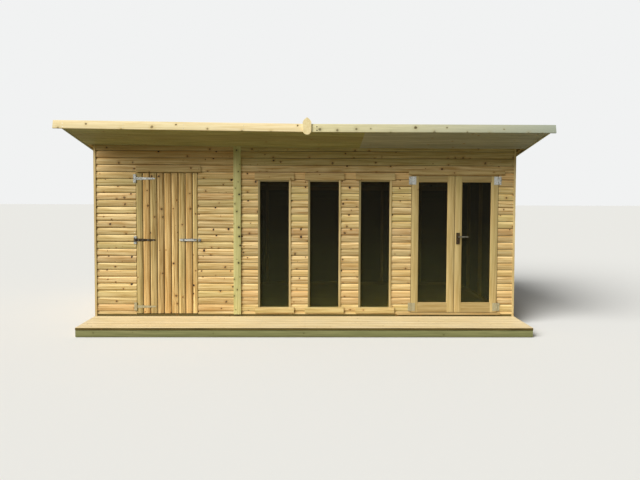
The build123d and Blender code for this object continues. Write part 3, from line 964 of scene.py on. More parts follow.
# -------------------------------------------------------------- geometry nodes


def new_tree(name: str, inputs: dict[str, str]) -> tuple[Tree, Any]:
    """Starts a geometry node tree with its named inputs.

    Args:
        name: the tree's name.
        inputs: each input's name and kind.

    Returns:
        The tree and its given inputs by name.
    """
    tree = bpy.data.node_groups.new(name, "GeometryNodeTree")
    for label, kind in ({"Geometry": "Geometry"} | inputs).items():
        tree.interface.new_socket(label, in_out="INPUT", socket_type=f"NodeSocket{kind}")
    tree.interface.new_socket("Geometry", in_out="OUTPUT", socket_type="NodeSocketGeometry")
    return tree, add_node(tree, "NodeGroupInput")


def board_tree() -> Tree:
    """Builds the tree that lays boards of one section, each cut to its own length.

    Returns:
        The tree. Each host point holds a board's start, turn, length, place along and number.
    """
    sizes = {"Tone Spread": "Float", "Grain Shift": "Float", "Seed": "Int"}
    tree, given = new_tree("boards_cut_to_length", {"Board": "Object"} | sizes | {"Finish": "Material"})
    add = partial(add_node, tree)
    kinds = {"turn": "FLOAT_VECTOR", "grain": "FLOAT_VECTOR", "row": "INT"}
    kinds |= dict.fromkeys(("length", "along", "shift", "own_tone"), "FLOAT")
    said = {name: add(NAMED, {"data_type": kind, "Name": name})[0] for name, kind in kinds.items()}
    low, high = (
        add(MATH, {"operation": way, 0: 0.5, 1: given["Tone Spread"]})[0] for way in ("SUBTRACT", "ADD")
    )
    by_row = {"data_type": "FLOAT", "ID": said["row"]}
    tone = add(RANDOM, by_row | {2: low, 3: high, "Seed": given["Seed"]})[1]
    other = add(MATH, {"operation": "ADD", 0: given["Seed"], 1: 1.0})[0]
    slide = add(RANDOM, by_row | {2: 0.0, 3: given["Grain Shift"], "Seed": other})[1]
    shift = add(MATH, {"operation": "ADD", 0: slide, 1: said["along"]})[0]
    number = {"data_type": "FLOAT", "domain": "POINT"}
    points = given["Geometry"]
    for name, value in (("own_tone", tone), ("shift", shift)):
        points = add(STORE, number | {"Name": name, "Geometry": points, "Value": value})[0]
    size = add(JOIN, {0: said["length"], 1: 1.0, 2: 1.0})[0]
    turn = add("FunctionNodeEulerToRotation", {0: said["turn"]})[0]
    board = add(OBJECT, {"Object": given["Board"]})["Geometry"]
    laid = add(ON_POINTS, {"Points": points, "Instance": board, "Rotation": turn, "Scale": size})[0]
    real = add(REALIZE, {0: laid})[0]
    offset = add(JOIN, {0: said["shift"]})[0]
    grown = add(VECTORS, {"operation": "MULTIPLY_ADD", 0: said["grain"], 1: size, 2: offset})[0]
    vector = {"data_type": "FLOAT_VECTOR", "domain": "POINT"}
    grained = add(STORE, vector | {"Name": "grain", "Geometry": real, "Value": grown})[0]
    # The board's own tone is written last, because the instanced mesh brings one that would win.
    shaded = add(STORE, number | {"Name": "tone", "Geometry": grained, "Value": said["own_tone"]})[0]
    add("NodeGroupOutput", {0: add(COAT, {"Geometry": shaded, "Material": given["Finish"]})[0]})
    return tree


def fixing_tree() -> Tree:
    """Builds the tree that sets one fixing on each host point, facing its way and turned by chance.

    Returns:
        The tree.
    """
    inputs = {"Fixing": "Object", "Turn Range": "Float", "Seed": "Int", "Finish": "Material"}
    tree, given = new_tree("fixings_on_points", inputs)
    add = partial(add_node, tree)
    facing = add(NAMED, {"data_type": "FLOAT_VECTOR", "Name": "facing"})[0]
    aimed = add("FunctionNodeAlignRotationToVector", {"axis": "Z", "Vector": facing})[0]
    reach = {2: 0.0, 3: given["Turn Range"]}
    angle = add(RANDOM, {"data_type": "FLOAT"} | reach | {"Seed": given["Seed"]})[1]
    spin = add("FunctionNodeAxisAngleToRotation", {"Axis": (0, 0, 1), "Angle": angle})[0]
    turned = add("FunctionNodeRotateRotation", {"rotation_space": "LOCAL", 0: aimed, 1: spin})[0]
    fixing = add(OBJECT, {"Object": given["Fixing"]})["Geometry"]
    placed = add(ON_POINTS, {"Points": given["Geometry"], "Instance": fixing, "Rotation": turned})[0]
    real = add(REALIZE, {0: placed})[0]
    add("NodeGroupOutput", {0: add(COAT, {"Geometry": real, "Material": given["Finish"]})[0]})
    return tree


def grow(
    points: list[Vector], rows: dict[str, list[Any]], shape: Mesh, tree: Tree, values: Values
) -> Mesh:
    """Runs a node tree on loose points and keeps the result as a plain mesh.

    Args:
        points: the points that the tree works on.
        rows: each point attribute's name and values.
        shape: the mesh that the tree copies, handed to its first input after the points.
        tree: the node tree.
        values: its other inputs by name.

    Returns:
        The plain mesh.
    """
    host = bpy.data.meshes.new("host_points")
    host.from_pydata(points, [], [])
    for name, row in rows.items():
        if isinstance(row[0], Vector):
            ways = host.attributes.new(name, "FLOAT_VECTOR", "POINT")
            ways.data.foreach_set("vector", [c for way in row for c in way])
        else:
            kind = "INT" if isinstance(row[0], int) else "FLOAT"
            host.attributes.new(name, kind, "POINT").data.foreach_set("value", row)
    obj = bpy.data.objects.new("host", host)
    bpy.context.scene.collection.objects.link(obj)
    modifier = obj.modifiers.new("grow", "NODES")
    modifier.node_group = tree
    copied = bpy.data.objects.new("copied", shape)
    given = [item for item in tree.interface.items_tree if item.in_out == "INPUT"]
    modifier[given[1].identifier] = copied
    for item in given[2:]:
        modifier[item.identifier] = values[item.name]
    graph = bpy.context.evaluated_depsgraph_get()
    plain = bpy.data.meshes.new_from_object(
        obj.evaluated_get(graph), preserve_all_data_layers=True, depsgraph=graph
    )
    bpy.data.objects.remove(obj)
    bpy.data.objects.remove(copied)
    bpy.data.meshes.remove(host)
    return plain


def drop_rows(mesh: Mesh, names: Iterable[str]) -> None:
    """Removes the attributes that only the node trees need.

    Args:
        mesh: the mesh that holds them.
        names: their names.
    """
    for name in names:
        if name in mesh.attributes:
            mesh.attributes.remove(mesh.attributes[name])


@dataclass
class Board:
    """One board of a run: where it starts, how it lies, its length, its wood and its saw cuts."""

    start: Vector
    turn: Matrix  # its columns are the ways along, across and out of its face
    length: float
    row: int  # boards of one number share their wood
    along: float = 0.0  # how far from the start of that wood it was cut
    saw: list[Plane] = field(default_factory=list)


@dataclass
class BoardRun(Stock):
    """Boards of one section that a node tree lays, and the saw cuts they get after that."""

    section: Section
    spread: float = 0.5
    boards: list[Board] = field(default_factory=list)

    def made(self) -> Mesh:
        """Lets the tree lay the boards, then makes the saw cuts.

        Returns:
            The finished mesh.
        """
        one = board_mesh()
        extrude(one, self.section, 1.0, Matrix(), 0.0)
        rows = {
            "turn": [Vector(b.turn.to_euler()) for b in self.boards],
            "length": [b.length for b in self.boards],
            "along": [b.along for b in self.boards],
            "row": [b.row for b in self.boards],
            "piece": list(range(len(self.boards))),
        }
        values = {"Tone Spread": self.spread, "Grain Shift": PATTERN_REACH}
        values |= {"Seed": self.seed, "Finish": self.finish}
        starts = [b.start for b in self.boards]
        mesh = grow(starts, rows, plain_mesh(one, "one_board"), TREES["boards"], values)
        self._saw(mesh)
        drop_rows(mesh, [*rows, "shift", "own_tone"])
        return mesh

    def _saw(self, mesh: Mesh) -> None:
        """Makes each board's own saw cuts in the mesh.

        Args:
            mesh: the laid boards, whose points hold their board's number.
        """
        work = bmesh.new()
        work.from_mesh(mesh)
        number = work.verts.layers.int["piece"]
        for piece, board in enumerate(self.boards):
            for cut in board.saw:
                verts = {v for v in work.verts if v[number] == piece}
                if verts:
                    trim(work, cut, verts)
                    for face in {f for v in work.verts if v[number] == piece for f in v.link_faces}:
                        for vert in face.verts:
                            vert[number] = piece
        work.normal_update()
        work.to_mesh(mesh)
        work.free()


def head_shape(levels: list[Level], tip: float, sides: int, round_tip: bool) -> Mesh:
    """Draws a nail's or a screw's head, its foot a little under the surface.

    Args:
        levels: rings from the foot up, each with its radii, which repeat round it, and its height.
        tip: the height of the middle.
        sides: the number of sides.
        round_tip: whether the last ring rises smoothly to the middle.

    Returns:
        The head's mesh.
    """
    work = bmesh.new()
    rings = []
    for radii, z in levels:
        spots = ((radii[i % len(radii)], 2 * math.pi * i / sides) for i in range(sides))
        rings.append([work.verts.new((r * math.cos(a), r * math.sin(a), z)) for r, a in spots])
    corners = [(i, (i + 1) % sides) for i in range(sides)]
    for low, high in zip(rings[:-1], rings[1:]):
        for i, j in corners:
            work.faces.new((low[i], low[j], high[j], high[i])).smooth = True
    middle = work.verts.new((0, 0, tip))
    for i, j in corners:
        work.faces.new((rings[-1][i], rings[-1][j], middle)).smooth = round_tip
    work.faces.new(rings[0][::-1])
    return plain_mesh(work, "head")


def nail_shape(radius: float, rise: float) -> Mesh:
    """Draws a round head with a low dome, which stands out by rise."""
    levels = [((radius * 0.8,), -rise), ((radius,), rise * 0.2), ((radius * 0.7,), rise * 0.85)]
    return head_shape(levels, rise, NAIL_SIDES, True)


def screw_shape(radius: float, rise: float) -> Mesh:
    """Draws a pan head screw with a cross recess, which stands out by rise.

    Args:
        radius: the head's radius.
        rise: how far its crown stands out.

    Returns:
        The screw head's mesh.
    """
    shares = ((1.0, -0.3), (1.0, 0.3), (0.78, 0.85), (0.5, 1.0))
    levels = [((radius * out,), rise * up) for out, up in shares]
    cross = tuple(radius * share for share in (0.46, 0.16, 0.16, 0.16))
    return head_shape([*levels, (cross, rise * 0.95)], rise * 0.1, SCREW_SIDES, False)


@dataclass
class Fixings(Stock):
    """Nail or screw heads that a node tree sets on their points."""

    shape: Mesh
    points: list[Vector] = field(default_factory=list)
    facings: list[Vector] = field(default_factory=list)

    def add(self, point: Vector, facing: Vector) -> None:
        """Adds one head on the surface at a point, facing its way."""
        self.points.append(point)
        self.facings.append(facing)

    def on_front(self, xs: Iterable[float], y: float, zs: tuple[float, ...]) -> None:
        """Adds heads on an upright face that looks to the front.

        Args:
            xs: their places across.
            y: where the face is.
            zs: their heights, at each place across.
        """
        for x in xs:
            for z in zs:
                self.add(Vector((x, y, z)), FORTH)

    def made(self) -> Mesh:
        """Lets the tree set the heads.

        Returns:
            The finished mesh.
        """
        values = {"Turn Range": math.pi, "Seed": self.seed, "Finish": self.finish}
        mesh = grow(self.points, {"facing": self.facings}, self.shape, TREES["fixings"], values)
        drop_rows(mesh, ["facing"])
        return mesh


TREES: dict[str, Tree] = {}


# -------------------------------------------------------------- sub-assemblies


@dataclass
class RoofFrame:
    """The two tilted frames of the roof: the right half, and the left half that lifts to its end."""

    pitch: float = 11.8
    lift: float = 0.65
    joint_x: float = 16 * MM
    soffit_z: float = 2316 * MM

    def __post_init__(self) -> None:
        """Works out both frames."""
        foot = Matrix.Translation((self.joint_x, 0, self.soffit_z))
        self.right = foot @ Matrix.Rotation(math.radians(-self.pitch), 4, "X")
        self.left = self.right @ Matrix.Rotation(math.radians(self.lift), 4, "Y")

    def under(self, place: Matrix, height: float) -> Plane:
        """Gives the plane at a height in one frame, as a point and the way up."""
        return place @ Vector((0, 0, height)), place.to_3x3() @ UP

    def halves(self, node: str) -> tuple[tuple[Matrix, Box], ...]:
        """Gives a node's left and right solid, each measured in its own half's frame."""
        return (self.left, solids_of(node, self.left)[0]), (self.right, solids_of(node, self.right)[-1])


class Facing(Enum):
    """The way a wall looks, with its boards' ways along, across and out as columns."""

    FRONT = ((1, 0, 0), (0, 0, 1), (0, -1, 0))
    BACK = ((-1, 0, 0), (0, 0, 1), (0, 1, 0))
    LEFT = ((0, -1, 0), (0, 0, 1), (-1, 0, 0))
    RIGHT = ((0, 1, 0), (0, 0, 1), (1, 0, 0))

    def turn(self) -> Matrix:
        """Gives the boards' turn."""
        return Matrix(self.value).transposed()


@dataclass
class Cladding:
    """Loglap boards on all four walls, with the nails that hold them."""

    roof: RoofFrame
    shape: LogLap = field(default_factory=LogLap)
    first_joint: float = 183 * MM
    panel_joint: float = -888 * MM
    panel_rows: int = 100  # the row numbers of the next panel start this much higher
    wall_top: float = 12 * MM
    doorway_foot: float = -1.0  # below every board, so that doorways are open down to the floor
    nail_radius: float = 2.8 * MM
    nail_rise: float = 0.8 * MM
    nail_places: tuple[Span, ...] = ((0.3, 0.3 * MM), (0.62, 0.6 * MM))  # share of the cover, depth there
    nailed_head: float = 250 * MM  # how much of the front wall's head is nailed
    back_studs: float = 2400 * MM  # studs that reach further back stand at the back wall

    def build(self, finishes: Finishes) -> None:
        """Builds and dresses the four walls.

        Args:
            finishes: the house's finishes.
        """
        section = self.shape.section()
        run = BoardRun(finishes.cladding, seed=11, section=section)
        self._front(run)
        run.piece("front_loglap", "cladding", "front_wall_piers", "front_wall_head", "front_wall_infills")
        walls = ((Facing.LEFT, "left_wall"), (Facing.RIGHT, "right_wall"), (Facing.BACK, "back_wall"))
        for number, (facing, node) in enumerate(walls):
            run = BoardRun(finishes.cladding, seed=20 + number, section=section)
            self._plain(run, facing, node)
            run.piece(f"{node}_loglap", "cladding", node)
        self._nails(finishes).piece("cladding_nails", "galvanised_steel")

    def _levels(self, low: float, high: float) -> list[tuple[int, float]]:
        """Lists the rows between two heights.

        Args:
            low: the lower height.
            high: the upper height.

        Returns:
            Each row's number and lower edge.
        """
        first = math.floor((low - self.first_joint) / self.shape.cover)
        last = math.ceil((high - self.first_joint) / self.shape.cover)
        return [(k, self.first_joint + k * self.shape.cover) for k in range(first, last)]

    def _openings(self) -> list[tuple[float, float, float, float]]:
        """Reads the openings of the front wall from the frames and stops in them.

        Returns:
            Left, right, bottom and top of each opening.
        """
        found = [(b[0].x, b[1].x, b[0].z, b[1].z) for b in solids_of("window_frames")]
        stops = solids_of("door_stops")
        for group in ([s for s in stops if s[0].x < 0], [s for s in stops if s[0].x > 0]):
            left, right = min(s[0].x for s in group), max(s[1].x for s in group)
            found.append((left, right, self.doorway_foot, max(s[1].z for s in group)))
        return sorted(found)

    def _front(self, run: BoardRun) -> None:
        """Lays the front wall's boards between its openings, under the roof.

        Args:
            run: the run that gets them.
        """
        low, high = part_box("front_wall_piers")
        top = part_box("front_wall_head")[1].z
        panels = ((low.x, self.panel_joint), (self.panel_joint, high.x))
        openings = self._openings()
        for k, z in self._levels(low.z, top):
            z1 = z + self.shape.cover
            for p, (pa, pb) in enumerate(panels):
                for xa, xb, za, zb in self._cells((pa, pb), (z, z1), openings):
                    edges = ((za > z, za, DOWN), (zb < z1, zb, UP), (z < low.z, low.z, DOWN))
                    saw = [(Vector((0, 0, at)), way) for cut, at, way in edges if cut]
                    for a, b, place in self._split(xa, xb, z1):
                        cuts = saw + ([self.roof.under(place, self.wall_top)] if place else [])
                        start = Vector((a, high.y, z))
                        row = self.panel_rows * p + k
                        run.boards.append(Board(start, Facing.FRONT.turn(), b - a, row, a - pa, cuts))

    def _split(self, xa: float, xb: float, z1: float) -> list[tuple[float, float, Matrix | None]]:
        """Splits a top board where the roof's halves meet.

        Args:
            xa: the board's left end.
            xb: its right end.
            z1: its upper edge.

        Returns:
            The ends of each part, and the roof's half that cuts it.
        """
        joint = self.roof.joint_x
        if z1 < self.roof.soffit_z:
            return [(xa, xb, None)]
        if xb <= joint:
            return [(xa, xb, self.roof.left)]
        if xa >= joint:
            return [(xa, xb, self.roof.right)]
        return [(xa, joint, self.roof.left), (joint, xb, self.roof.right)]

    def _cells(
        self, panel: Span, row: Span, openings: list[tuple[float, float, float, float]]
    ) -> list[tuple[float, float, float, float]]:
        """Splits one row of a panel round the openings.

        Args:
            panel: the panel's left and right end.
            row: the row's lower and upper edge.
            openings: left, right, bottom and top of each opening.

        Returns:
            Left, right, bottom and top of each board that stays.
        """
        cells = []
        x, end = panel
        z0, z1 = row
        for xa, xb, za, zb in openings:
            if xb <= panel[0] or xa >= end or zb <= z0 or za >= z1:
                continue
            parts = ((xa > x, (x, xa, z0, z1)), (za > z0, (xa, xb, z0, za)), (zb < z1, (xa, xb, zb, z1)))
            cells += [cell for stays, cell in parts if stays]
            x = xb
        return cells + ([(x, end, z0, z1)] if x < end else [])

    def _plain(self, run: BoardRun, facing: Facing, node: str) -> None:
        """Lays the boards of a wall without openings, sawn to the roof's slope.

        Args:
            run: the run that gets them.
            facing: the way the wall looks.
            node: the wall's CAD node.
        """
        low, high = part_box(node)
        along, out = Vector(facing.value[0]), Vector(facing.value[2])
        start = Vector([low[i] if along[i] + out[i] > 0 else high[i] for i in range(3)])
        span = abs((high - low).dot(along))
        parts = [(0.0, span, self.roof.left if low.x < 0 else self.roof.right)]
        if facing is Facing.BACK:
            joint = start.x - self.roof.joint_x
            parts = [(0.0, joint, self.roof.right), (joint, span, self.roof.left)]
        for k, z in self._levels(low.z, high.z):
            foot = [(Vector((0, 0, low.z)), DOWN)] if z < low.z else []
            for number, (a, b, place) in enumerate(parts):
                spot = start + along * a
                spot.z = z
                row = self.panel_rows * number + k
                saw = [self.roof.under(place, self.wall_top), *foot]
                run.boards.append(Board(spot, facing.turn(), b - a, row, a, saw))

    def _nails(self, finishes: Finishes) -> Fixings:
        """Sets two nails in each board over each stud.

        Args:
            finishes: the house's finishes.

        Returns:
            The nails.
        """
        shape = nail_shape(self.nail_radius, self.nail_rise)
        nails = Fixings(finishes.steel, seed=3, shape=shape)
        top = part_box("front_wall_head")[0].z + self.nailed_head
        for low, high in solids_of("front_studs"):
            self._column(nails, Vector(((low.x + high.x) / 2, 0, 0)), Facing.FRONT, top)
        for low, high in solids_of("wall_studs"):
            mid = (low + high) / 2
            if high.y > self.back_studs:
                spot, facing = Vector((mid.x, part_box("back_wall")[1].y, 0)), Facing.BACK
            elif mid.x < 0:
                spot, facing = Vector((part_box("left_wall")[0].x, mid.y, 0)), Facing.LEFT
            else:
                spot, facing = Vector((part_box("right_wall")[1].x, mid.y, 0)), Facing.RIGHT
            self._column(nails, spot, facing, high.z)
        return nails

    def _column(self, nails: Fixings, spot: Vector, facing: Facing, top: float) -> None:
        """Sets the nails of one stud.

        Args:
            nails: the nails that get them.
            spot: where the stud stands on the wall's face.
            facing: the way the wall looks.
            top: up to where it is nailed.
        """
        out = Vector(facing.value[2])
        for _, z in self._levels(self.first_joint, top):
            for share, depth in self.nail_places:
                height = z + share * self.shape.cover
                if height < top:
                    nails.add(Vector((spot.x, spot.y, height)) - out * depth, out)


@dataclass
class Roof:
    """Soffit boards, fascias, bargeboards and felt in the roof's two frames."""

    roof: RoofFrame
    soffit_cover: float = 96 * MM
    soffit_butt: float = 700 * MM  # where the weathered soffit boards start
    groove: float = 3 * MM
    side_gap: float = 6 * MM
    middle_gap: float = 0.4 * MM
    wall_gap: float = 0.5 * MM
    cream_tone: float = 0.6
    pale_tones: Span = (1.0, 0.0)  # it grows darker and greyer towards its right end
    fascia_nail: float = 4 * MM
    stained_nail: float = 7.5 * MM
    fascia_nail_rise: float = 0.9 * MM
    fascia_nail_gap: float = 660 * MM
    fascia_nail_start: float = 114 * MM
    fascia_nail_margins: float = 150 * MM
    fascia_nail_drop: float = 36 * MM
    fascia_nail_lift: float = 18 * MM
    capping: float = 150 * MM
    cap_thick: float = 3.4 * MM
    cap_front: float = 2 * MM
    felt_sheet: float = 1000 * MM
    felt_lap: float = 75 * MM
    felt_least: float = 200 * MM
    felt_thick: float = 1.6 * MM
    felt_rest: float = 0.1 * MM  # a sheet lies this much over the one below
    felt_ripple: float = 0.5 * MM
    felt_sway: float = 4.0  # how far its edge strays along the slope, for each bit that it lifts
    felt_turn: float = 1.7  # how far the ripple turns from step to step, in radians
    felt_steps: int = 40
    clout_radius: float = 4.5 * MM
    clout_rise: float = 0.8 * MM
    clout_gap: float = 100 * MM
    clout_side: float = 40 * MM
    clout_edge: float = 20 * MM

    def build(self, finishes: Finishes) -> None:
        """Builds and dresses the roof.

        Args:
            finishes: the house's finishes.
        """
        self._soffit(finishes)
        self._fascias(finishes)
        self._fascia_nails(finishes)
        self._felt(finishes)
        dress(finishes.finial, "finial")
        dress(finishes.sawn_x, "roof_boards")
        dress(finishes.sawn_y, "rafters")

    def _soffit(self, finishes: Finishes) -> None:
        """Lays the soffit's boards lengthwise, face down, with a butt joint on the right.

        Args:
            finishes: the house's finishes.
        """
        cover, bevel = self.soffit_cover, self.groove
        (left, left_box), (right, right_box) = self.roof.halves("front_soffit")
        thick = left_box[1].z - left_box[0].z
        section = [(0.0, 0.0), (cover, 0.0), (cover, thick - bevel), (cover - bevel, thick)]
        section += [(bevel, thick), (0.0, thick - bevel)]
        down = Matrix((LEFT, BACK, DOWN)).transposed()
        wall = (Vector((0, -self.wall_gap, 0)), BACK)
        ends = (left_box[0].x + self.side_gap, right_box[1].x - self.side_gap)
        butt = self.soffit_butt - self.roof.joint_x
        warm, grey = (finishes.soffit, 31), (finishes.grey_soffit, 32)
        for name, place, (low, high), xa, xb, (finish, seed), nodes in (
            ("left_soffit_boards", left, left_box, -self.middle_gap, ends[0], warm, ()),
            ("middle_soffit_boards", right, right_box, butt, self.middle_gap, warm, ()),
            ("soffit_boards", right, right_box, ends[1], butt, grey, ("front_soffit",)),
        ):
            run = BoardRun(finish, seed, section=section)
            for row in range(math.ceil((high.y - low.y) / cover)):
                start = place @ Vector((xa, low.y + row * cover, high.z))
                run.boards.append(Board(start, place.to_3x3() @ down, xa - xb, row, -xa, [wall]))
            run.piece(name, "soffit", *nodes)

    def _fascias(self, finishes: Finishes) -> None:
        """Makes the fascias and bargeboards with eased arrises.

        Args:
            finishes: the house's finishes.
        """
        (left, left_box), (right, right_box) = self.roof.halves("front_fascia")
        # The cream left fascia is partly painted light, the pale right one partly painted shade.
        cream = Joinery(finishes.fascia, seed=41)
        cream.board(left_box, left, tone=self.cream_tone)
        pale = Joinery(finishes.pale_fascia, seed=42)
        pale.board(right_box, right, tone=self.pale_tones)
        for node in ("bargeboards", "rear_fascia"):
            for place, box in self.roof.halves(node):
                pale.board(box, place)
        cream.piece("left_front_fascia", "fascia")
        pale.piece("fascia_and_bargeboards", "fascia", "front_fascia", "bargeboards", "rear_fascia")

    def _fascia_nails(self, finishes: Finishes) -> None:
        """Nails the front fascias in pairs, of which the one right of the joint has stained.

        Args:
            finishes: the house's finishes.
        """
        kinds = ((finishes.steel, self.fascia_nail), (finishes.stained_steel, self.stained_nail))
        nails, stained = (
            Fixings(finish, seed=3, shape=nail_shape(radius, self.fascia_nail_rise))
            for finish, radius in kinds
        )
        for place, (low, high) in self.roof.halves("front_fascia"):
            out = place.to_3x3() @ FORTH
            width = high.x - low.x
            steps = max(2, round(width / self.fascia_nail_gap))
            for i in range(steps + 1):
                x = low.x + self.fascia_nail_start + (width - self.fascia_nail_margins) * i / steps
                kind = stained if place is self.roof.right and i == 0 else nails
                for z in (high.z - self.fascia_nail_drop, low.z + self.fascia_nail_lift):
                    kind.add(place @ Vector((x, low.y, z)), out)
        nails.piece("fascia_nails", "galvanised_steel")
        stained.piece("stained_fascia_nails", "galvanised_steel")

    def _felt(self, finishes: Finishes) -> None:
        """Adds the upper felt sheets with their laps and clout nails over the base sheet.

        Args:
            finishes: the house's finishes.
        """
        dress(finishes.felt, "roof_felt")
        work = bmesh.new()
        nails = Fixings(finishes.steel, seed=5, shape=nail_shape(self.clout_radius, self.clout_rise))
        halves = self.roof.halves("roof_felt")
        for place, (low, high) in halves:
            up = place.to_3x3() @ UP
            edge = high.y - self.felt_sheet
            while edge > low.y + self.felt_least:
                lap = edge + self.felt_lap
                self._sheet(work, place, (low.x, high.x), (low.y, lap), high.z)
                count = int((high.x - low.x) / self.clout_gap)
                reach = high.x - low.x - 2 * self.clout_side
                for i in range(count):
                    x = low.x + self.clout_side + i * reach / (count - 1)
                    nails.add(place @ Vector((x, lap - self.clout_edge, high.z + self.felt_thick)), up)
                edge -= self.felt_sheet - self.felt_lap
        self._cap(work, halves)
        add_piece("felt_sheets", plain_mesh(work, "felt"), finishes.felt, HOUSE)
        nails.piece("clout_nails", "galvanised_steel")

    def _cap(self, work: BMesh, halves: tuple[tuple[Matrix, Box], ...]) -> None:
        """Adds the strip of felt that covers the joint of the roof's halves.

        Args:
            work: the mesh that gets it.
            halves: the frame and the box of each half's base sheet.
        """
        (left, (low, high)), (right, _) = halves
        reach = self.capping / 2
        rise = Vector((0, 0, self.cap_thick))
        ends = []
        for y in (low.y - self.cap_front, high.y):
            places = ((left, -reach), (right, 0), (right, reach))
            under = [place @ Vector((x, y, high.z + self.felt_rest)) for place, x in places]
            ends.append([work.verts.new(p) for p in under + [p + rise for p in under[::-1]]])
        near, far = ends
        for i in range(len(near)):
            work.faces.new((near[i - 1], near[i], far[i], far[i - 1]))
        work.faces.new(near[::-1])
        work.faces.new(far)

    def _sheet(self, work: BMesh, place: Matrix, xs: Span, ys: Span, z: float) -> None:
        """Adds one felt sheet whose lower edge dips and lifts a little, as felt does.

        Args:
            work: the mesh that gets it.
            place: the frame of the roof's half.
            xs: the sheet's left and right end.
            ys: its upper and lower edge.
            z: the height it lies on.
        """
        count = self.felt_steps
        rows = []
        for y, lower in ((ys[0], False), (ys[1], True)):
            for level, lift in ((self.felt_rest, 0.0), (self.felt_thick, 0.5)):
                row = []
                for i in range(count + 1):
                    x = xs[0] + (xs[1] - xs[0]) * i / count
                    ripple = self.felt_ripple * math.sin(i * self.felt_turn) * lower
                    spot = Vector((x, y + self.felt_sway * ripple, z + level + ripple * lift))
                    row.append(work.verts.new(place @ spot))
                rows.append(row)
        top_b, top_t, low_b, low_t = rows
        for a, b in ((top_t, low_t), (low_t, low_b), (low_b, top_b), (top_b, top_t)):
            for i in range(count):
                work.faces.new((a[i], a[i + 1], b[i + 1], b[i]))
        work.faces.new((top_b[0], top_t[0], low_t[0], low_b[0]))
        work.faces.new((top_b[-1], low_b[-1], low_t[-1], top_t[-1]))


@dataclass
class Base:
    """Deck, skirt, base rails, floor and the framing that shows through the glass."""

    deck_ease: float = 3 * MM
    front_normal: float = -0.9  # a face whose normal's y is below this looks to the front
    plain_tone: float = 0.5
    screw_radius: float = 4 * MM
    screw_rise: float = 0.7 * MM
    screw_end: float = 20 * MM  # from a board's end
    screw_edge: float = 25 * MM  # from its long edges

    def build(self, finishes: Finishes) -> None:
        """Builds and dresses the base.

        Args:
            finishes: the house's finishes.
        """
        self._deck(finishes)
        skirt = Joinery(finishes.skirt, seed=52)
        skirt.board(solids_of("deck_skirt")[0], tone=self.plain_tone)
        skirt.piece("skirt_board", "skirt", "deck_skirt")
        # The base rails take the dark edge finish, painted shade under the cladding's lowest lip.
        rails = Joinery(finishes.shade_edge, seed=53)
        for box in solids_of("base_rails"):
            rails.board(box, tone=self.plain_tone)
        rails.piece("base_rail_boards", "trim", "base_rails")
        dress(finishes.sawn_y, "floor_joists")
        dress(finishes.sawn_x, "floor_panel", "front_rails", "wall_plates")
        dress(finishes.sawn_z, "front_studs", "wall_studs")

    def _deck(self, finishes: Finishes) -> None:
        """Lays the deck, paints shade on the front edge of its first board and screws it down.

        Args:
            finishes: the house's finishes.
        """
        deck = Joinery(finishes.deck, seed=51)
        boards = solids_of("deck_boards")
        for box in boards:
            deck.board(box, ease=self.deck_ease)
        mesh = deck.piece("deck_planks", "decking", "deck_boards").data
        # The front face of the first board takes the dark edge finish, painted shade.
        mesh.materials.append(finishes.shade_edge)
        first = boards[0]
        for face in mesh.polygons:
            faces_front = face.normal.y < self.front_normal
            face.material_index = int(faces_front and face.center.y < first[0].y + self.deck_ease)
        screws = Fixings(finishes.steel, seed=3, shape=screw_shape(self.screw_radius, self.screw_rise))
        for joist in solids_of("floor_joists"):
            middle = (joist[0].x + joist[1].x) / 2
            x = min(max(middle, first[0].x + self.screw_end), first[1].x - self.screw_end)
            for low, high in boards:
                for y in (low.y + self.screw_edge, high.y - self.screw_edge):
                    screws.add(Vector((x, y, high.z)), UP)
        screws.piece("deck_screws", "galvanised_steel")


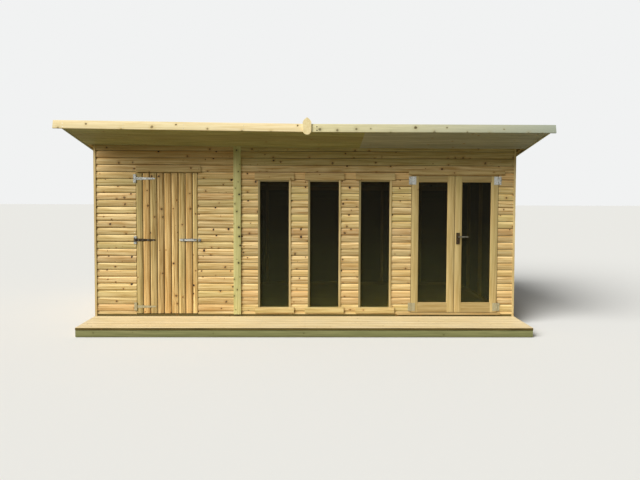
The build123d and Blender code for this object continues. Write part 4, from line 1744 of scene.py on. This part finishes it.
@dataclass
class Trims:
    """Cover strip, corner beads, window frames and the boards round windows and doors."""

    roof: RoofFrame
    strip_spare: float = 20 * MM  # cut off again along the roof's slope
    strip_tone: float = 0.5
    head_from: float = 1000 * MM  # trims that start above this are heads
    trim_shade_tones: Span = (0.3, 0.8)  # of heads, darker partly in their own colour and partly as painted shade under the eave, and of the others
    trim_ease: float = 2.5 * MM
    frame_ease: float = 1.5 * MM
    frame_side: float = 27 * MM
    frame_end: float = 20 * MM
    frame_shade_tones: tuple[float, ...] = (0.0, 1.0, 0.2, 0.6)  # of the left and right upright, head and sill; the dark left upright is painted shade, the pale right one painted light
    sill_back: float = 0.5 * MM

    def build(self, finishes: Finishes) -> None:
        """Builds and dresses the trims.

        Args:
            finishes: the house's finishes.
        """
        strip = Joinery(finishes.strip, seed=61)
        low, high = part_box("cover_strip")
        strip.board((low, high + UP * self.strip_spare), tone=self.strip_tone)
        trim(strip.work, self.roof.under(self.roof.left, 0.0))
        strip.piece("joint_cover_strip", "trim", "cover_strip")
        boards = Joinery(finishes.trim, seed=62)
        nodes = ("window_trims", "door_trims")
        for node in nodes:
            for low, high in solids_of(node):
                tone = self.trim_shade_tones[0 if low.z > self.head_from else 1]
                boards.board((low, high), ease=self.trim_ease, tone=tone)
        boards.piece("opening_trims", "trim", *nodes)
        self._windows(finishes)
        dress(finishes.bead, "corner_beads")
        dress(finishes.planed_z, "door_stops")
        dress(finishes.planed_x, "french_threshold")
        dress(finishes.glass, "window_glass")

    def _windows(self, finishes: Finishes) -> None:
        """Makes the window frames: uprights, of which the left one is darker as painted shade and the right
        one paler as painted light, a head and a sill piece.

        Args:
            finishes: the house's finishes.
        """
        frames = Joinery(finishes.window_frame, seed=63)
        for low, high in solids_of("window_frames"):
            xa, xb = low.x + self.frame_side, high.x - self.frame_side
            za, zb = low.z + self.frame_end, high.z - self.frame_end
            ys = (low.y, high.y)
            boxes = (
                box_of((low.x, xa), ys, (low.z, high.z)),
                box_of((xb, high.x), ys, (low.z, high.z)),
                box_of((xa, xb), ys, (zb, high.z)),
                box_of((xa, xb), (self.sill_back, high.y), (low.z, za)),
            )
            for box, tone in zip(boxes, self.frame_shade_tones):
                frames.board(box, ease=self.frame_ease, tone=tone)
        frames.piece("window_joinery", "trim", "window_frames")


@dataclass(frozen=True)
class Screws:
    """The screws of the fittings, and how far from a fitting's edges they sit."""

    radius: float = 4 * MM
    rise: float = 1.6 * MM
    face: float = -3 * MM
    strap: tuple[float, ...] = (30 * MM, 90 * MM, 155 * MM, 225 * MM)
    guide_x: tuple[float, ...] = (10 * MM, 70 * MM)
    guide_far: tuple[float, ...] = (60 * MM, 10 * MM)
    guide_z: float = 7 * MM
    plate_x: float = 11 * MM
    plate_z: float = 13 * MM
    keep: float = 6 * MM
    leaf_x: float = 13 * MM
    leaf_z: float = 14 * MM
    handle_z: float = 12 * MM
    handle_rise: float = 1.4 * MM


@dataclass
class ShedDoor:
    """Boarded door with its straps and bolt."""

    first_board: float = 80 * MM
    shape: LogLap = LogLap(
        cover=92 * MM, thick=14 * MM, lip_drop=8.5 * MM, lip_reach=24 * MM,
        top_drop=8.5 * MM, top_reach=20 * MM
    )
    screws: Screws = Screws()
    right_plates: float = 2.0  # hinge plates beyond it have their barrel on their left

    def build(self, finishes: Finishes) -> None:
        """Builds and dresses the door.

        Args:
            finishes: the house's finishes.
        """
        low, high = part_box("shed_door_boards")
        run = BoardRun(finishes.door, seed=71, section=self.shape.section())
        turn = Matrix((UP, LEFT, FORTH)).transposed()
        sides = [(Vector((low.x, 0, 0)), LEFT), (Vector((high.x, 0, 0)), RIGHT)]
        edge = low.x + self.first_board
        while edge - self.shape.cover < high.x - WELD:
            start = Vector((edge, high.y, low.z))
            run.boards.append(Board(start, turn, high.z - low.z, len(run.boards), 0.0, sides))
            edge += self.shape.cover
        run.piece("shed_door_loglap", "door_boards", "shed_door_boards", body="shed_door")
        dress(finishes.sawn_x, "shed_door_frame")
        dress(finishes.hinge_steel, "shed_door_straps", "hinge_plates")
        dress(finishes.guide_steel, "bolt_guide", "bolt_keep")
        dress(finishes.rod_steel, "bolt_rod")
        self._screws(finishes)

    def _screws(self, finishes: Finishes) -> None:
        """Sets the screws of straps, hinge plates, bolt and keep.

        Args:
            finishes: the house's finishes.
        """
        at = self.screws
        moving, still = (
            Fixings(finishes.steel, seed=seed, shape=screw_shape(at.radius, at.rise)) for seed in (6, 7)
        )
        for low, high in solids_of("shed_door_straps"):
            moving.on_front([low.x + x for x in at.strap], at.face, ((low.z + high.z) / 2,))
        low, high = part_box("bolt_guide")
        xs = [low.x + x for x in at.guide_x] + [high.x - x for x in at.guide_far]
        moving.on_front(xs, at.face, (low.z + at.guide_z, high.z - at.guide_z))
        moving.piece("shed_door_screws", "galvanised_steel", body="shed_door")
        for low, high in solids_of("hinge_plates"):
            x = low.x + at.plate_x if low.x < self.right_plates else high.x - at.plate_x
            still.on_front([x], at.face, (low.z + at.plate_z, (low.z + high.z) / 2, high.z - at.plate_z))
        low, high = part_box("bolt_keep")
        still.on_front((low.x + at.keep, high.x - at.keep), at.face, (low.z + at.keep, high.z - at.keep))
        still.piece("plate_screws", "galvanised_steel")


class Side(Enum):
    """The leaves of the French pair, seen from the front."""

    LEFT = "left"
    RIGHT = "right"


@dataclass
class FrenchLeaf:
    """One glazed leaf: stiles, rails, glazing beads, glass and hinge screws."""

    side: Side
    stile: float = 88 * MM
    top_rail: float = 76 * MM
    bottom_rail: float = 123 * MM
    rail_back: float = 0.4 * MM
    stile_ease: float = 2.5 * MM
    rail_ease: float = 1.5 * MM
    stile_tone: float = 0.55
    rail_shade_tones: Span = (0.2, -0.1)  # of the bottom and the top rail; the top rail's darker tone is painted shade under the eave
    bead_tone: float = 1.0
    bead: float = 4 * MM
    bead_depth: Span = (5 * MM, 16 * MM)
    seed: int = 81
    screws: Screws = Screws()

    def build(self, finishes: Finishes) -> None:
        """Builds and dresses the leaf.

        Args:
            finishes: the house's finishes.
        """
        name = f"french_{self.side.value}"
        body, frames = f"{name}_leaf", f"{name}_frame"
        low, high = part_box(frames)
        xa, xb = low.x + self.stile, high.x - self.stile
        za, zb = low.z + self.bottom_rail, high.z - self.top_rail
        wood = Joinery(finishes.joinery, seed=self.seed)
        for xs in ((low.x, xa), (xb, high.x)):
            stile = box_of(xs, (low.y, high.y), (low.z, high.z))
            wood.board(stile, ease=self.stile_ease, tone=self.stile_tone)
        ys = (low.y + self.rail_back, high.y - self.rail_back)
        for zs, tone in zip(((low.z, za), (zb, high.z)), self.rail_shade_tones):
            wood.board(box_of((xa, xb), ys, zs), ease=self.rail_ease, tone=tone)
        b = self.bead
        ys = tuple(low.y + depth for depth in self.bead_depth)
        for xs in ((xa, xa + b), (xb - b, xb)):
            wood.board(box_of(xs, ys, (za, zb)), tone=self.bead_tone)
        for zs in ((za, za + b), (zb - b, zb)):
            wood.board(box_of((xa + b, xb - b), ys, zs), tone=self.bead_tone)
        wood.piece(f"{name}_joinery", "door_frame", frames, body=body)
        dress(finishes.glass, f"{name}_glass")
        dress(finishes.steel, f"{name}_hinges")
        at = self.screws
        screws = Fixings(finishes.steel, seed=8, shape=screw_shape(at.radius, at.rise))
        for low, high in solids_of(f"{name}_hinges"):
            x = high.x - at.leaf_x if self.side is Side.LEFT else low.x + at.leaf_x
            screws.on_front([x], at.face, (low.z + at.leaf_z, (low.z + high.z) / 2, high.z - at.leaf_z))
        screws.piece(f"{name}_hinge_screws", "galvanised_steel", body=body)


@dataclass
class LeverHandle:
    """The lever on its long plate, with its screws."""

    screws: Screws = Screws()

    def build(self, finishes: Finishes) -> None:
        """Dresses the handle.

        Args:
            finishes: the house's finishes.
        """
        dress(finishes.bronze, "handle_plate")
        dress(finishes.worn_bronze, "lever")
        low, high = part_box("handle_plate")
        at = self.screws
        screws = Fixings(finishes.bronze, seed=9, shape=screw_shape(at.radius, at.handle_rise))
        screws.on_front([(low.x + high.x) / 2], low.y, (low.z + at.handle_z, high.z - at.handle_z))
        screws.piece("handle_screws", "dark_brass", body="french_right_leaf")


# --------------------------------------------------------------------- studio


@dataclass
class Studio:
    """Floor, daylight and the camera at the photograph's viewing angle."""

    floor_colour: str = "#e9e8e3"
    floor_bounce: str = "#787b63"  # what the floor throws back on the house, darker than it looks
    floor_reach: float = 60.0
    surround_colour: str = "#f1f2f2"
    surround_strength: float = 0.22
    sun_strength: float = 4.45
    sun_angle: float = 42.0
    toward_sun: tuple[float, float, float] = (-1.0, -0.9, 0.95)
    focal_px: float = 525.0
    image_width: float = 640.0
    image_height: float = 480.0
    sensor_mm: float = 36.0
    centre: Span = (311.36, 210.47)
    position: tuple[float, float, float] = (0.0065, -6.8417, 1.7569)
    yaw: float = 0.5859
    down: float = 2.1156
    roll: float = 0.1802
    clip_end: float = 200.0

    def build(self) -> None:
        """Builds the studio."""
        bpy.context.scene.view_settings.view_transform = "Standard"
        self._floor()
        self._surround()
        self._sun()
        self._camera()

    def _seen(self, add: Adder) -> Socket:
        """Draws what tells the rays that show the background, straight, mirrored or through glass.

        Args:
            add: adds a node to the tree.

        Returns:
            The socket that gives 1 for them.
        """
        path = add("ShaderNodeLightPath")
        seen = path["Is Camera Ray"]
        for ray in ("Is Glossy Ray", "Is Transmission Ray"):
            seen = add(MATH, {"operation": "MAXIMUM", 0: seen, 1: path[ray]})[0]
        return seen

    def _floor_inputs(self, add: Adder) -> Values:
        """Gives the floor its colour, and another one for the light that it throws back."""
        colours = {6: linear(self.floor_bounce), 7: linear(self.floor_colour)}
        return {"Color": add(MIX, {"data_type": "RGBA", 0: self._seen(add)} | colours)[2]}

    def _floor(self) -> None:
        """Lays the plain pale floor."""
        mesh = bpy.data.meshes.new("studio_floor")
        r = self.floor_reach
        mesh.from_pydata([(-r, -r, 0), (r, -r, 0), (r, r, 0), (-r, r, 0)], [], [(0, 1, 2, 3)])
        mesh.materials.append(new_material("pale_studio_floor", self._floor_inputs, "ShaderNodeBsdfDiffuse"))
        floor = bpy.data.objects.new("studio_floor", mesh)
        bpy.context.scene.collection.objects.link(floor)

    def _surround(self) -> None:
        """Sets the even light from all round and the pale background."""
        world = bpy.data.worlds.new("studio_surround")
        bpy.context.scene.world = world
        world.use_nodes = True
        world.node_tree.nodes.clear()
        add = partial(add_node, world.node_tree)
        strength = add(RANGE, {"To Min": self.surround_strength, "To Max": 1.0, "Value": self._seen(add)})[0]
        light = add("ShaderNodeBackground", {"Color": linear(self.surround_colour), "Strength": strength})[0]
        add("ShaderNodeOutputWorld", {"Surface": light})

    def _sun(self) -> None:
        """Adds the broad soft light from the upper left in front."""
        lamp = bpy.data.lights.new("soft_key", "SUN")
        lamp.energy = self.sun_strength
        lamp.angle = math.radians(self.sun_angle)
        sun = bpy.data.objects.new("soft_key", lamp)
        bpy.context.scene.collection.objects.link(sun)
        sun.rotation_mode = "QUATERNION"
        sun.rotation_quaternion = Vector(self.toward_sun).to_track_quat("Z", "Y")

    def _camera(self) -> None:
        """Stands the camera where the photograph was taken from."""
        yaw, down, roll = (math.radians(a) for a in (self.yaw, self.down, self.roll))
        level = Vector((math.cos(yaw), -math.sin(yaw), 0))
        ahead = Vector((math.sin(yaw), math.cos(yaw), 0))
        forward = ahead * math.cos(down) - UP * math.sin(down)
        upward = ahead * math.sin(down) + UP * math.cos(down)
        right = level * math.cos(roll) + upward * math.sin(roll)
        up = upward * math.cos(roll) - level * math.sin(roll)
        data = bpy.data.cameras.new("camera")
        data.sensor_width = self.sensor_mm
        data.lens = self.focal_px / self.image_width * self.sensor_mm
        data.shift_x = (self.image_width / 2 - self.centre[0]) / self.image_width
        data.shift_y = -(self.image_height / 2 - self.centre[1]) / self.image_width
        data.clip_end = self.clip_end
        camera = bpy.data.objects.new("camera", data)
        bpy.context.scene.collection.objects.link(camera)
        turn = Matrix((right, up, -forward)).transposed().to_4x4()
        camera.matrix_world = Matrix.Translation(self.position) @ turn
        bpy.context.scene.camera = camera


def main() -> None:
    """Builds the studio, the finishes and every sub-assembly in order."""
    logging.basicConfig(level=logging.INFO, format="%(message)s")
    Studio().build()
    TREES["boards"] = board_tree()
    TREES["fixings"] = fixing_tree()
    finishes = Finishes()
    roof = RoofFrame()
    parts = (
        Base(), Cladding(roof), Trims(roof), Roof(roof), ShedDoor(), FrenchLeaf(Side.LEFT),
        FrenchLeaf(Side.RIGHT, seed=82), LeverHandle()
    )
    for part in parts:
        part.build(finishes)


if __name__ == "__main__":
    main()
